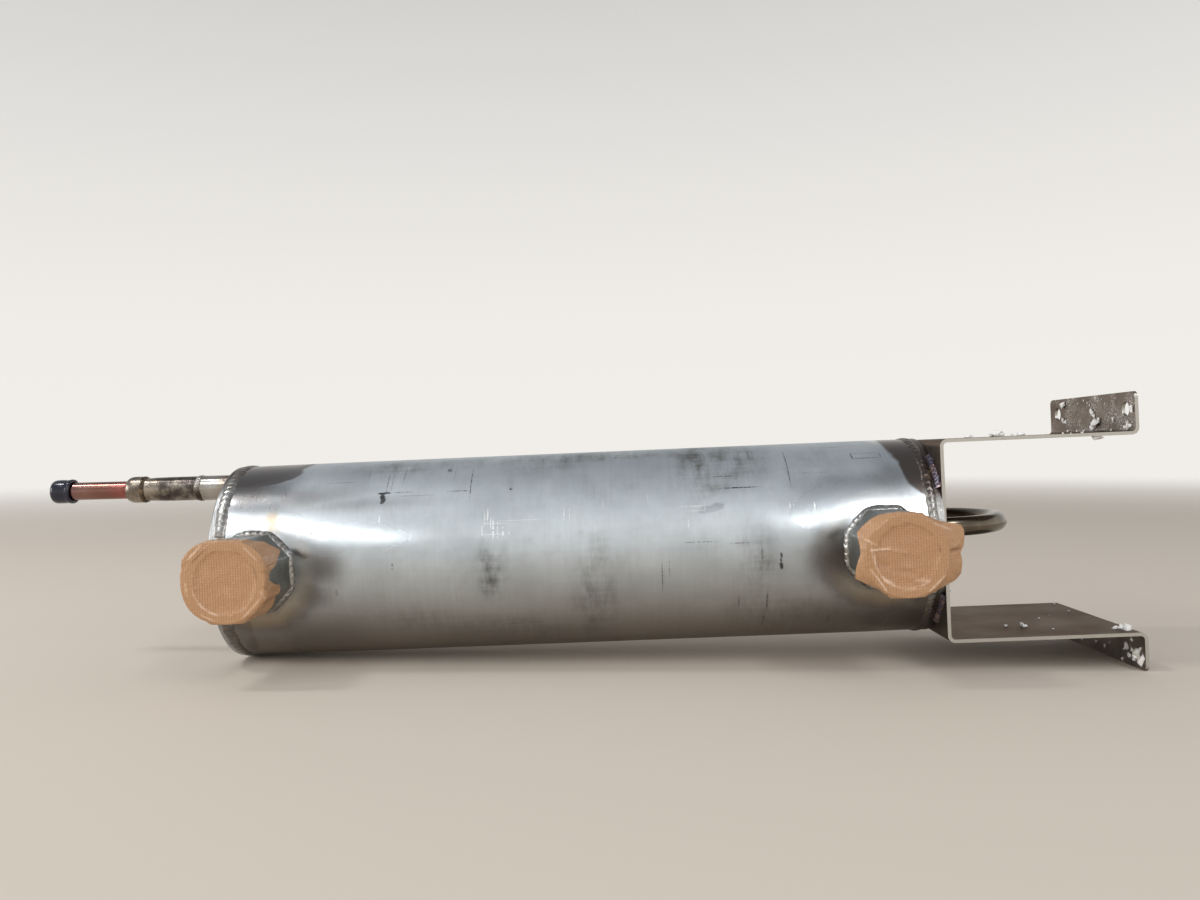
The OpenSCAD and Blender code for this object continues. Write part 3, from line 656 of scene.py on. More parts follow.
# Threads 2 mm apart both ways, the upright ones thicker
stuck = add(tree, "Attribute", attribute_name="stuck", attribute_type="GEOMETRY", out="Fac")
ridge = add(tree, "Attribute", attribute_name="ridge", attribute_type="GEOMETRY", out="Fac")
threads = []
for way, strength in ((u, 1), (v, 0.5)):
    turn = add(tree, "Math", {0: way, 1: 2 * math.pi / (2 * mm)}, operation="MULTIPLY")
    wave = add(tree, "Math", {0: turn}, operation="SINE")
    threads.append(add(tree, "MapRange", {
        "Value": wave, "From Min": -0.2, "From Max": 1, "To Max": strength}))
weave = add(tree, "Math", {0: threads[0], 1: threads[1]}, operation="MAXIMUM")
cloud = add(tree, "TexNoise", {"Vector": flat, "Scale": 60, "Detail": 4}, out="Fac")
fibre = add(tree, "TexNoise", {"Vector": flat, "Scale": 1500, "Detail": 3}, out="Fac")
colour = add(tree, "ValToRGB", {0: cloud}, stops=[(0.3, "#cb9e78"), (0.5, "#c29670"), (0.72, "#d0a784")])
pressed = add(tree, "Mix", {0: stuck, 6: colour, 7: linear("#c0966f")}, out=2, data_type="RGBA")
# The threads show where the tape bridges the bore, and less where it sticks
seen = add(tree, "MapRange", {"Value": stuck, "To Min": 1, "To Max": 0.75})
seen = add(tree, "Math", {0: weave, 1: seen}, operation="MULTIPLY")
colour = add(tree, "Mix", {0: seen, 6: pressed, 7: linear("#a97d58")}, out=2, data_type="RGBA")
mottle = add(tree, "TexNoise", {"Vector": flat, "Scale": 420, "Detail": 3}, out="Fac")
mottle = add(tree, "MapRange", {"Value": mottle, "From Min": 0.38, "From Max": 0.62})
grubby = add(tree, "Math", {0: mottle, 1: 0.3}, operation="MULTIPLY")
colour = add(tree, "Mix", {0: grubby, 6: colour, 7: linear("#a87e60")}, out=2, data_type="RGBA")
# Painted highlight: the tops of creases and folds and the bore's lower edge are painted pale; painted shade:
# their valleys and the bore's upper edge are painted dark
crease_highlight_paint = add(tree, "MapRange", {"Value": ridge, "From Min": 0.56, "From Max": 0.95, "To Max": 0.85})
patchy = add(tree, "MapRange", {"Value": mottle, "To Min": 1, "To Max": 0.45})
crease_highlight_paint = add(tree, "Math", {0: crease_highlight_paint, 1: patchy}, operation="MULTIPLY")
colour = add(tree, "Mix", {0: crease_highlight_paint, 6: colour, 7: linear("#ecccb2")}, out=2, data_type="RGBA")
crease_shade_paint = add(tree, "MapRange", {"Value": ridge, "From Min": 0.4, "From Max": 0, "To Max": 0.7})
colour = add(tree, "Mix", {0: crease_shade_paint, 6: colour, 7: linear("#7d5638")}, out=2, data_type="RGBA")
rough = spread(tree, cloud, 0.22, 0.34)
relief = add(tree, "Math", {0: fibre, 1: 0.35, 2: weave}, operation="MULTIPLY_ADD")
relief = add(tree, "Math", {0: mottle, 1: 0.8, 2: relief}, operation="MULTIPLY_ADD")
normal = add(tree, "Bump", {"Height": relief, "Distance": 0.00012, "Strength": 1})
tape_skin = add(tree, "BsdfPrincipled", {"Base Color": colour, "Roughness": rough, "Normal": normal})
add(tree, "OutputMaterial", {"Surface": tape_skin}, out=None)
tape_material = material

tape_t = 0.3 * mm
tape_bend = 1.1 * mm
tape_clear = 0.35 * mm
tape_rings = 76
tape_spokes = 300


def between(table, a):
    """Reads a table of (angle in degrees, values...) at an angle, round and round."""
    a = math.degrees(a) % 360
    rows = sorted(table)
    rows = [(rows[-1][0] - 360, *rows[-1][1:])] + rows + [(rows[0][0] + 360, *rows[0][1:])]
    for low, high in zip(rows, rows[1:]):
        if low[0] <= a <= high[0]:
            t = (a - low[0]) / (high[0] - low[0])
            return [p + (q - p) * t for p, q in zip(low[1:], high[1:])]


def crease(u, v, line):
    """Height of a crease at a point of the tape, both in mm. It runs out at its ends."""
    u1, v1, u2, v2, high, wide = line
    along = Vector((u2 - u1, v2 - v1))
    t = min(max(Vector((u - u1, v - v1)).dot(along) / along.length_squared, 0), 1)
    away = math.hypot(u - u1 - along.x * t, v - v1 - along.y * t)
    return high * math.sqrt(4 * t * (1 - t)) * math.exp(-(away / wide) ** 2)


def press_tape(name, node, port, outline, creases, rim_r, edge_r, seed):
    """Forms a flat piece of tape over a coupling's mouth.

    outline lists, by angle round the mouth, the radius in mm at which the
    tape folds back, how far it reaches past that and how far it is folded.
    """
    bm = bmesh.new()
    uv = bm.loops.layers.uv.new("flat")
    stuck = bm.verts.layers.float.new("stuck")
    ridge = bm.verts.layers.float.new("ridge")
    bmesh.ops.create_grid(bm, x_segments=tape_rings, y_segments=tape_spokes, size=0.5)
    lies_at = {}
    for vert in bm.verts:
        share = vert.co.x + 0.5
        a = 2 * math.pi * (vert.co.y + 0.5)
        turn_r, reach, fold = between(outline, a)
        turn_r *= mm
        reach *= mm
        fold = math.radians(fold)
        flat_r = share * (turn_r + reach)
        u, v = flat_r * math.cos(a) / mm, flat_r * math.sin(a) / mm
        beyond = flat_r - (turn_r - tape_bend)
        turned = min(max(beyond / tape_bend, 0), fold)
        r = min(flat_r, turn_r - tape_bend) + tape_bend * math.sin(turned)
        back = tape_bend * (1 - math.cos(turned))
        rest = max(beyond - tape_bend * fold, 0)
        r += rest * math.cos(fold)
        back += rest * math.sin(fold)
        # The rim prints through as a low ring, and the middle is pushed in
        heights = [crease(u, v, line) for line in creases]
        folds = sum(heights)
        # Narrow creases get a painted highlight on top and a painted shade where they sink, and wide dents
        # only shade by their shape
        sharp = sum(height * min(1 / line[5], 1) for height, line in zip(heights, creases))
        printed = noise.noise(Vector((u / 7, v / 7, seed + 2)))
        edge_ring = (0.14 + 0.2 * printed) * math.exp(-((flat_r / mm - edge_r) / 0.6) ** 2)
        # The bore's edge is painted as a pale arc low down, a painted highlight, and as a dark one above, a
        # painted shade
        bore_ring = (0.55 + printed) * math.exp(-((flat_r / mm - rim_r) / 0.8) ** 2)
        bore_ring *= fade(-v - 0.5 * u, 4, 14) - 0.7 * fade(v + 0.3 * u, 2, 14)
        folds += edge_ring
        round_off = rim_r + 0.7 * noise.noise(Vector((u / 9, v / 9, seed + 4)))
        out = folds - 0.45 * (1 - fade(flat_r / mm, round_off - 5, round_off + 0.5))
        vert[stuck] = fade(flat_r / mm, round_off - 3, round_off + 2)
        out += 0.2 * noise.noise(Vector((u / 10, v / 10, seed)))
        out += 0.1 * noise.noise(Vector((u / 3.5, v / 3.5, seed + 9)))
        # Gathers run out from the rim and are deeper on the skirt
        gather = noise.noise(Vector((7 * math.cos(a), 7 * math.sin(a), seed + flat_r / (30 * mm))))
        gather *= fade(flat_r, turn_r - 3 * mm, turn_r + 6 * mm)
        out += 0.55 * gather
        # ridge carries the tape's painted highlight (high) and painted shade (low)
        vert[ridge] = min(max(0.5 + 0.6 * (sharp + edge_ring + bore_ring) + 0.3 * gather, 0), 1)
        way = Vector((math.cos(a), 0, math.sin(a)))
        facing = way * math.sin(turned) + Vector((0, -math.cos(turned), 0))
        r += facing.dot(way) * out * mm
        depth = back + facing.y * out * mm
        # Nothing goes through the coupling: its land, its cone or its flats
        if flat_r > (rim_r - 1) * mm:
            side = min(octagon(a), coupling_flat + max(depth, 0)) + tape_clear
            if depth > -tape_clear and r < side:
                if turned < 0.8:
                    depth = -tape_clear
                else:
                    r = side
        vert.co = (port.x + r * math.cos(a), mouth_y + depth, port.z + r * math.sin(a))
        lies_at[vert.index] = (u * mm, v * mm)
    for face in bm.faces:
        for loop in face.loops:
            loop[uv].uv = lies_at[loop.vert.index]
    bmesh.ops.remove_doubles(bm, verts=bm.verts, dist=0.000002)
    for vert in bm.verts:
        vert.co.y = max(vert.co.y, mouth_y - 1.2 * mm)
    rim = [sum(between(outline, math.radians(i))[:2]) * mm for i in range(360)]
    area = sum(0.5 * r * r * math.radians(1) for r in rim)
    piece = place(bm, name, tape_material, "tan_tape", node, sharp=180)
    thick = piece.modifiers.new("thickness", "SOLIDIFY")
    thick.thickness = tape_t
    thick.offset = 1
    return piece, area


left_outline = [
    (0, 31.6, 6, 88), (8, 31.8, 6, 88), (12, 32, 9, 88), (17, 32.4, 21, 88), (25, 33.2, 28, 88),
    (33, 34, 38, 88), (36, 34, 37, 88), (52, 33.4, 27, 88), (66, 32.6, 16, 88), (77, 32, 9, 86),
    (92, 31.6, 9, 86), (110, 33.4, 9, 84), (122, 35.2, 9, 82), (133, 36.6, 10, 80), (142, 37, 10, 80),
    (150, 37, 9, 80), (160, 35, 9, 82), (175, 34, 9, 84), (190, 33.9, 10, 84), (211, 34.2, 9, 84),
    (227, 33.6, 9, 84), (243, 32.4, 9, 84), (262, 31.6, 9, 84), (288, 31.6, 10, 84), (300, 32, 13, 82),
    (312, 32.4, 24, 84), (322, 32.4, 26, 86), (333, 32, 24, 88), (340, 31.9, 30, 88), (348, 31.8, 29, 88),
    (353, 31.7, 14, 88)]
left_creases = [
    (15, 27.5, 26, 15.5, 0.7, 0.6), (-28.5, 17, -15, 30, 0.8, 0.7), (-26, 14.5, -12.5, 27, -0.9, 0.8),
    (27, -6, 30.5, -15, 0.5, 0.9), (12, -28.5, 28, -12, 0.6, 0.7), (-12, 25, 12, 25.5, 0.3, 1.4),
    (-30, 2, -28.5, -10, 0.4, 1), (-20, -23, -8, -29, 0.4, 0.9), (-28, 9, -21, 5, 0.35, 1.6),
    (-27, -3, -19, -3, 0.3, 1.6)]
right_outline = [
    (0, 31.8, 10, 25), (8, 31.8, 14, 25), (20, 32.5, 19, 30), (25, 33, 18.5, 32), (34, 32.8, 11, 45),
    (45, 32.6, 6, 60), (58, 32.2, 5, 72), (71, 31.8, 5, 78), (90, 31.6, 5, 78), (107, 32, 5, 74),
    (121, 32.6, 7, 60), (138, 32.6, 8, 50), (152, 32.6, 10, 45), (157, 32.2, 8, 45), (168, 31.8, 4.5, 50),
    (177, 31.6, 4, 50), (186, 31.8, 6, 45), (194, 32, 8.5, 42), (204, 32.6, 11.5, 42), (211, 32.4, 8, 50),
    (218, 32, 6, 55), (228, 31.6, 5, 72), (244, 31.6, 5, 76), (258, 31.5, 5, 78), (271, 31.5, 4, 78),
    (292, 32, 5, 74), (306, 32.2, 6, 60), (320, 32.4, 8, 50), (332, 32.2, 13, 35), (339, 32, 15, 32),
    (345, 32, 14, 32), (353, 31.8, 12, 28)]
right_creases = [
    (-28, 5, -12, 5.6, 0.8, 0.8), (-15, 5.5, 2, 2, 0.4, 1.6), (-28.5, -8, -16, -26, 0.9, 0.7),
    (14, -28, 28, -15, 0.7, 0.7), (-19, -17, -10, -22, 1, 1.6), (-24, -4, 8, -14, -0.9, 3),
    (-6, 16, 14, 15, -0.5, 4), (31, 2, 44, 3.5, -1.6, 1.6), (33, 5.5, 43, 9, 0.9, 1.6),
    (-32, 14, -21, 8, 0.5, 0.9), (-8, -26, 16, -24.5, 0.4, 1.2), (-27, 12, -25.5, -4, 0.4, 0.8),
    (4, -19, 17, -20, 0.7, 2), (-14, -8, 4, -9.5, 0.8, 2.2), (20, 24, 36, 18, 0.7, 1.3),
    (-24, 19, -13, 28, 0.5, 0.8)]

left_tape, left_area = press_tape(
    "left_tape", "left_port_tape", left_port, left_outline, left_creases, 25, 29.5, 11)
right_tape, right_area = press_tape(
    "right_tape", "right_port_tape", right_port, right_outline, right_creases, 24.5, 30.8, 23)

# Inlet tube: a short stainless tube through the left plate, straw and brown
# from the weld at its root.
material, tree = new_material("drawn stainless tube")
where = add(tree, "TexCoord", out="Object")
x, y, z = add(tree, "SeparateXYZ", {0: where}, out=None).outputs
stretched = add(tree, "VectorMath", {0: where, 1: (25, 900, 900)}, operation="MULTIPLY")
drawn = add(tree, "TexNoise", {"Vector": stretched, "Scale": 1, "Detail": 2}, out="Fac")
cloud = add(tree, "TexNoise", {"Vector": where, "Scale": 90, "Detail": 4}, out="Fac")
heat = add(tree, "Math", {0: cloud, 1: 0.014, 2: x}, operation="MULTIPLY_ADD")
heat_place = add(tree, "MapRange", {"Value": heat, "From Min": -0.797, "From Max": -0.752})
colour = add(tree, "ValToRGB", {0: heat_place}, stops=[
    (0.02, "#6b5f57"), (0.14, "#99938b"), (0.4, "#b1aea9"), (0.62, "#a0968a"), (0.8, "#7a6d64"),
    (1, "#585a62")])
rough = spread(tree, drawn, 0.16, 0.26)
normal = add(tree, "Bump", {"Height": drawn, "Distance": 0.00002, "Strength": 1})
steel = bare_metal(tree, colour, rough, normal)
add(tree, "OutputMaterial", {"Surface": steel}, out=None)
dress("inlet_tube", material)

inlet_od = 22.2 * mm
inlet_root = Vector((shell_lo.x - 8.5 * mm, 0, 66 * mm))
inlet_leg = 4.5 * mm
bm = bmesh.new()
weld(bm, ring(inlet_root, (-1, 0, 0), (inlet_od / 2 + inlet_leg, 0.1 * mm), (inlet_od / 2, inlet_leg),
              (inlet_od / 2, 0.1 * mm)), 2 * math.pi * 13 * mm, 3.6 * mm, 0.5 * mm, 0.5, True, 5)
place(bm, "inlet_weld", weld_steel, "weld_bead", "inlet_tube_weld", sharp=60)

# Joint bead, sleeve, braze ring and bell: a steel to copper adapter, brazed in
# the torch's flame. The soot and flux were never cleaned off, but the top shines.
material, tree = new_material("brazed adapter, sooty")
where = add(tree, "TexCoord", out="Object")
x, y, z = add(tree, "SeparateXYZ", {0: where}, out=None).outputs
cloud = add(tree, "TexNoise", {"Vector": where, "Scale": 70, "Detail": 5, "Roughness": 0.6}, out="Fac")
spots = add(tree, "TexNoise", {"Vector": where, "Scale": 260, "Detail": 3}, out="Fac")
colour = add(tree, "ValToRGB", {0: cloud}, stops=[
    (0.34, "#a39c91"), (0.45, "#7d766e"), (0.52, "#57504c"), (0.62, "#46403d"), (0.76, "#675c52")])
# Greenish grey flux lies on the bell, and soot on the sleeve's right half
near_bell = add(tree, "MapRange", {"Value": x, "From Min": -0.83, "From Max": -0.84})
flux = add(tree, "ValToRGB", {0: cloud}, stops=[(0.36, "#a69d90"), (0.5, "#857b70"), (0.66, "#5a5149")])
colour = add(tree, "Mix", {0: near_bell, 6: colour, 7: flux}, out=2, data_type="RGBA")
rough = spread(tree, cloud, 0.18, 0.36, 0.35, 0.65)
normal = add(tree, "Bump", {"Height": spots, "Distance": 0.0002, "Strength": 1})
steel = bare_metal(tree, colour, rough, normal)
add(tree, "OutputMaterial", {"Surface": steel}, out=None)
dress("reducer_bell", material)

inlet_lean = math.radians(0.9)
inlet_way = Vector((-math.cos(inlet_lean), 0, math.sin(inlet_lean)))
sleeve_r = 10.8 * mm
sleeve_bore_r = 9.6 * mm
joint_s = 38 * mm
bell_s = 89.5 * mm


def on_inlet(r, s):
    """A point at distance r over the inlet's leaning axis, s from the plate."""
    return inlet_root + inlet_way * s + Vector((inlet_way.z, 0, -inlet_way.x)) * r


# The sleeve is necked down a little where it enters the bell
outside = [
    (10.2, 86.5), (10.2, 83), (10.45, 80), (10.6, 74), (10.75, 68), (10.8, 60), (10.75, 50), (10.8, 40),
    (10.8, 38)]
inside = [(9.6, 38), (9.6, 86.5)]
bm = spun([on_inlet(r * mm, s * mm) for r, s in outside + inside], 64, inlet_root, inlet_way)
place(bm, "sleeve", material, "brazed_adapter", "adapter_sleeve")

# The joint's bead has a pale crust on top and is burnt dark below
crust, tree = new_material("stainless weld, crusted and burnt")
where = add(tree, "TexCoord", out="Object")
x, y, z = add(tree, "SeparateXYZ", {0: where}, out=None).outputs
flecks = add(tree, "TexNoise", {"Vector": where, "Scale": 420, "Detail": 4, "Roughness": 0.7}, out="Fac")
height = add(tree, "Math", {0: flecks, 1: 0.026, 2: z}, operation="MULTIPLY_ADD")
height = add(tree, "MapRange", {"Value": height, "From Min": 0.066, "From Max": 0.09})
colour = add(tree, "ValToRGB", {0: height}, stops=[
    (0.1, "#5b4a42"), (0.25, "#3c332f"), (0.42, "#554b44"), (0.66, "#9b958e"), (0.9, "#bdb9b3")])
crest = add(tree, "Attribute", attribute_name="crest", attribute_type="GEOMETRY", out="Fac")
low = add(tree, "MapRange", {"Value": crest, "From Min": 0.4, "From Max": 0.08, "To Max": 0.6})
colour = add(tree, "Mix", {0: low, 6: colour, 7: linear("#4c443f")}, out=2, data_type="RGBA")
normal = add(tree, "Bump", {"Height": flecks, "Distance": 0.0005, "Strength": 1})
steel = bare_metal(tree, colour, 0.34, normal)
add(tree, "OutputMaterial", {"Surface": steel}, out=None)
bm = bmesh.new()
joint = inlet_root + inlet_way * joint_s
weld(bm, ring(joint, inlet_way, (inlet_od / 2, -2.7 * mm), (sleeve_r, 2.7 * mm), (sleeve_bore_r, 0)),
     2 * math.pi * inlet_od / 2, 3.4 * mm, 0.8 * mm, 0.5, True, 6)
place(bm, "joint_ring", crust, "brazed_adapter", "joint_bead", sharp=60)

# Braze metal, sooty yellow brown, drawn into the gap and heaped at its edge
material, tree = new_material("braze metal, oxidised")
where = add(tree, "TexCoord", out="Object")
cloud = add(tree, "TexNoise", {"Vector": where, "Scale": 160, "Detail": 4}, out="Fac")
colour = add(tree, "ValToRGB", {0: cloud}, stops=[(0.35, "#84725c"), (0.5, "#554a40"), (0.7, "#3b3531")])
normal = add(tree, "Bump", {"Height": cloud, "Distance": 0.0003, "Strength": 1})
steel = bare_metal(tree, colour, 0.36, normal)
add(tree, "OutputMaterial", {"Surface": steel}, out=None)
bm = bmesh.new()
weld(bm, ring(inlet_root + inlet_way * bell_s, inlet_way, (10.2 * mm, -3 * mm), (11.8 * mm, 0.6 * mm),
              (8.5 * mm, -0.4 * mm)), 2 * math.pi * 11 * mm, 5 * mm, 0.8 * mm, 0.4, True, 7)
place(bm, "braze", material, "braze_metal", "braze_ring", sharp=60)

# Copper stub: hard drawn copper tube, dull pink, redder next to the bell where
# the torch played on it.
material, tree = new_material("copper tube, heated")
where = add(tree, "TexCoord", out="Object")
x, y, z = add(tree, "SeparateXYZ", {0: where}, out=None).outputs
cloud = add(tree, "TexNoise", {"Vector": where, "Scale": 75, "Detail": 5}, out="Fac")
heat = add(tree, "Math", {0: cloud, 1: 0.03, 2: x}, operation="MULTIPLY_ADD")
heat_place = add(tree, "MapRange", {"Value": heat, "From Min": -0.9, "From Max": -0.846})
colour = add(tree, "ValToRGB", {0: heat_place}, stops=[
    (0.0, "#886863"), (0.25, "#927066"), (0.45, "#866155"), (0.62, "#8c6057"), (0.8, "#935d56"),
    (0.93, "#9b605a"), (1, "#844b45")])
rough = spread(tree, cloud, 0.14, 0.24)
normal = add(tree, "Bump", {"Height": cloud, "Distance": 0.00006, "Strength": 1})
metal = bare_metal(tree, colour, rough, normal)
add(tree, "OutputMaterial", {"Surface": metal}, out=None)
dress("copper_stub", material)

# Vinyl cap: a dark blue dip moulded cap, pushed over the end of the stub. Its
# mouth is rolled back into a lip, and its end is rounded and slightly hollow.
material, tree = new_material("dip moulded vinyl")
where = add(tree, "TexCoord", out="Object")
cloud = add(tree, "TexNoise", {"Vector": where, "Scale": 120, "Detail": 3}, out="Fac")
colour = add(tree, "ValToRGB", {0: cloud}, stops=[(0.3, "#141525"), (0.6, "#1b1c30"), (0.8, "#262a48")])
rough = spread(tree, cloud, 0.12, 0.2)
normal = add(tree, "Bump", {"Height": cloud, "Distance": 0.0002, "Strength": 1})
vinyl = add(tree, "BsdfPrincipled", {"Base Color": colour, "Roughness": rough, "IOR": 1.52, "Normal": normal})
add(tree, "OutputMaterial", {"Surface": vinyl}, out=None)
cap_section = [
    (0.01, 172.1), (4, 172.3), (6.6, 172.8), (8.4, 172.6), (9.7, 171.7), (10.4, 170.3), (10.6, 168.5),
    (10.65, 164.5), (10.55, 160.5), (10.5, 158.7), (10.75, 157.8), (10.93, 156.8), (10.93, 155.7),
    (10.7, 154.9), (10.2, 154.6), (9.2, 154.6), (8.5, 154.9), (8.02, 155.7), (8.02, 169.1), (0.01, 169.1)]
bm = spun([on_inlet(r * mm, s * mm) for r, s in cap_section], 72, inlet_root, inlet_way)
for vert in bm.verts:
    along = (vert.co - inlet_root).dot(inlet_way)
    dimple = noise.noise(vert.co * 120) * 0.2 * mm
    out = vert.co - inlet_root - inlet_way * along
    if out.length > 8.6 * mm:
        vert.co += out.normalized() * min(dimple, 0.02 * mm)
place(bm, "cap", material, "vinyl_cap", "vinyl_cap", sharp=50)

# Bracket: one piece of 12 gauge stainless sheet, sheared and bent in a press.
# Its faces are dull and its sheared edges are bright.
material, tree = new_material("stainless sheet, 2B finish")
where = add(tree, "TexCoord", out="Object")
facing = add(tree, "TexCoord", out="Normal")
x, y, z = add(tree, "SeparateXYZ", {0: where}, out=None).outputs
cloud = add(tree, "TexNoise", {"Vector": where, "Scale": 26, "Detail": 5}, out="Fac")
stretched = add(tree, "VectorMath", {0: where, 1: (60, 900, 300)}, operation="MULTIPLY")
scuff = add(tree, "TexNoise", {"Vector": stretched, "Scale": 1, "Detail": 3}, out="Fac")
colour = add(tree, "ValToRGB", {0: cloud}, stops=[(0.3, "#9a918a"), (0.5, "#8b827b"), (0.72, "#797069")])
nx, ny = add(tree, "SeparateXYZ", {0: facing}, out=None).outputs[:2]
sheared = add(tree, "Math", {0: ny}, operation="ABSOLUTE")
sheared = add(tree, "MapRange", {"Value": sheared, "From Min": 0.7, "From Max": 0.9})
colour = add(tree, "Mix", {0: sheared, 6: colour, 7: linear("#c2bfb8")}, out=2, data_type="RGBA")
# Fine dust of the packing foam clings to the inner face of both lips
specks = add(tree, "TexNoise", {"Vector": where, "Scale": 650, "Detail": 3, "Roughness": 0.7}, out="Fac")
haze = add(tree, "TexNoise", {"Vector": where, "Scale": 45, "Detail": 3}, out="Fac")
specks = add(tree, "MapRange", {"Value": specks, "From Min": 0.5, "From Max": 0.6})
haze = add(tree, "MapRange", {"Value": haze, "From Min": 0.42, "From Max": 0.62})
on_lips = add(tree, "MapRange", {"Value": x, "From Min": -0.012, "From Max": -0.004})
upper = add(tree, "MapRange", {"Value": z, "From Min": 0, "From Max": 0.01, "To Min": 0.3, "To Max": 0.75})
on_lips = add(tree, "Math", {0: on_lips, 1: upper}, operation="MULTIPLY")
dust = add(tree, "Math", {0: specks, 1: haze}, operation="MULTIPLY")
dust = add(tree, "Math", {0: dust, 1: on_lips}, operation="MULTIPLY")
inner_face = add(tree, "MapRange", {"Value": nx, "From Min": -0.5, "From Max": -0.9})
dust = add(tree, "Math", {0: dust, 1: inner_face}, operation="MULTIPLY")
colour = add(tree, "Mix", {0: dust, 6: colour, 7: linear("#e6e4e0")}, out=2, data_type="RGBA")
bare = add(tree, "Math", {0: 1, 1: dust}, operation="SUBTRACT")
rough = spread(tree, scuff, 0.34, 0.46)
edge_tint = add(tree, "Mix", {0: sheared, 6: linear("#aaa29c"), 7: linear("#ffffff")},
                out=2, data_type="RGBA")
normal = add(tree, "Bump", {"Height": scuff, "Distance": 0.00002, "Strength": 1})
steel = add(tree, "BsdfPrincipled", {
    "Base Color": colour, "Metallic": bare, "Roughness": rough, "Normal": normal, "Specular Tint": edge_tint})
add(tree, "OutputMaterial", {"Surface": steel}, out=None)
dress("mounting_bracket", material)

# Bracket welds: four fillets between the plate's edge and the web, left with
# the violet, blue and bronze tint of the arc.
material, tree = new_material("stainless TIG weld, heat tinted")
where = add(tree, "TexCoord", out="Object")
drift = add(tree, "TexNoise", {"Vector": where, "Scale": 150, "Detail": 3}, out="Fac")
colour = add(tree, "ValToRGB", {0: drift}, stops=[
    (0.32, "#a09089"), (0.43, "#84706a"), (0.51, "#665a62"), (0.6, "#4f4f60"), (0.7, "#766d74")])
crest = add(tree, "Attribute", attribute_name="crest", attribute_type="GEOMETRY", out="Fac")
low = add(tree, "MapRange", {"Value": crest, "From Min": 0.4, "From Max": 0.08, "To Max": 0.6})
colour = add(tree, "Mix", {0: low, 6: colour, 7: linear("#3f3a40")}, out=2, data_type="RGBA")
rough = spread(tree, drift, 0.2, 0.34)
steel = add(tree, "BsdfPrincipled", {"Base Color": colour, "Metallic": 1, "Roughness": rough})
add(tree, "OutputMaterial", {"Surface": steel}, out=None)
stitch_leg = 4 * mm
stitch_sweep = math.radians(24)
web_x = shell_hi.x + 8.5 * mm
stitch_end = math.asin((77 - 1) * mm / (shell_r + stitch_leg))
bm = bmesh.new()
# Angles from -Y: two fillets above the ports' level, two below
for start in (math.pi / 2 - stitch_end, math.pi / 2 + stitch_end - stitch_sweep,
              -math.pi / 2 - stitch_end, -math.pi / 2 + stitch_end - stitch_sweep):
    feet = ring(Vector((web_x, 0, 0)), (1, 0, 0), (shell_r + stitch_leg, -0.05 * mm),
                (shell_r - 0.3 * mm, -stitch_leg), (shell_r - 0.3 * mm, -0.05 * mm), start, stitch_sweep)
    weld(bm, feet, stitch_sweep * shell_r, 3.6 * mm, 0.9 * mm, 0.5, False, 8 + start)
place(bm, "stitches", material, "weld_bead", "bracket_welds", sharp=60)

# Return bend: a tube bent to a U, which joins two passes through the bracket's
# web. It is shiny, with a straw tint.
material, tree = new_material("bent stainless tube, straw tint")
where = add(tree, "TexCoord", out="Object")
cloud = add(tree, "TexNoise", {"Vector": where, "Scale": 45, "Detail": 4}, out="Fac")
colour = add(tree, "ValToRGB", {0: cloud}, stops=[(0.3, "#82796a"), (0.5, "#6e6559"), (0.72, "#564e43")])
rough = spread(tree, cloud, 0.16, 0.28)
normal = add(tree, "Bump", {"Height": cloud, "Distance": 0.00015, "Strength": 1})
steel = bare_metal(tree, colour, rough, normal)
add(tree, "OutputMaterial", {"Surface": steel}, out=None)
dress("return_bend", material)

bend_r = 15.9 * mm / 2
bend_leg = 2.5 * mm
bend_lo, bend_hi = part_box("return_bend_welds")
bm = bmesh.new()
for side in (-63 * mm, 63 * mm):
    centre = Vector((bend_lo.x, side, (bend_lo.z + bend_hi.z) / 2))
    weld(bm, ring(centre, (1, 0, 0), (bend_r + bend_leg, 0.05 * mm), (bend_r, bend_leg), (bend_r, 0.05 * mm)),
         2 * math.pi * bend_r, 3 * mm, 0.4 * mm, 0.5, True, 12 + side)
place(bm, "bend_rings", weld_steel, "weld_bead", "return_bend_welds", sharp=60)

# Foam crumbs: white crumbs of the polystyrene packing, which cling to the
# bracket by static, with some dust of it between them.
material, tree = new_material("expanded polystyrene crumb")
where = add(tree, "TexCoord", out="Object")
cells = add(tree, "TexVoronoi", {"Vector": where, "Scale": 900}, out="Distance")
colour = add(tree, "ValToRGB", {0: cells}, stops=[(0, "#ffffff"), (0.6, "#f3f2ef")])
normal = add(tree, "Bump", {"Height": cells, "Distance": 0.00012, "Strength": 1})
# Light that falls on a crumb spreads through it, some 3 mm deep
foam = add(tree, "BsdfPrincipled", {"Base Color": colour, "Roughness": 0.7, "Normal": normal,
                                    "Subsurface Weight": 0.85, "Subsurface Radius": (1, 1, 1),
                                    "Subsurface Scale": 3 * mm})
add(tree, "OutputMaterial", {"Surface": foam}, out=None)
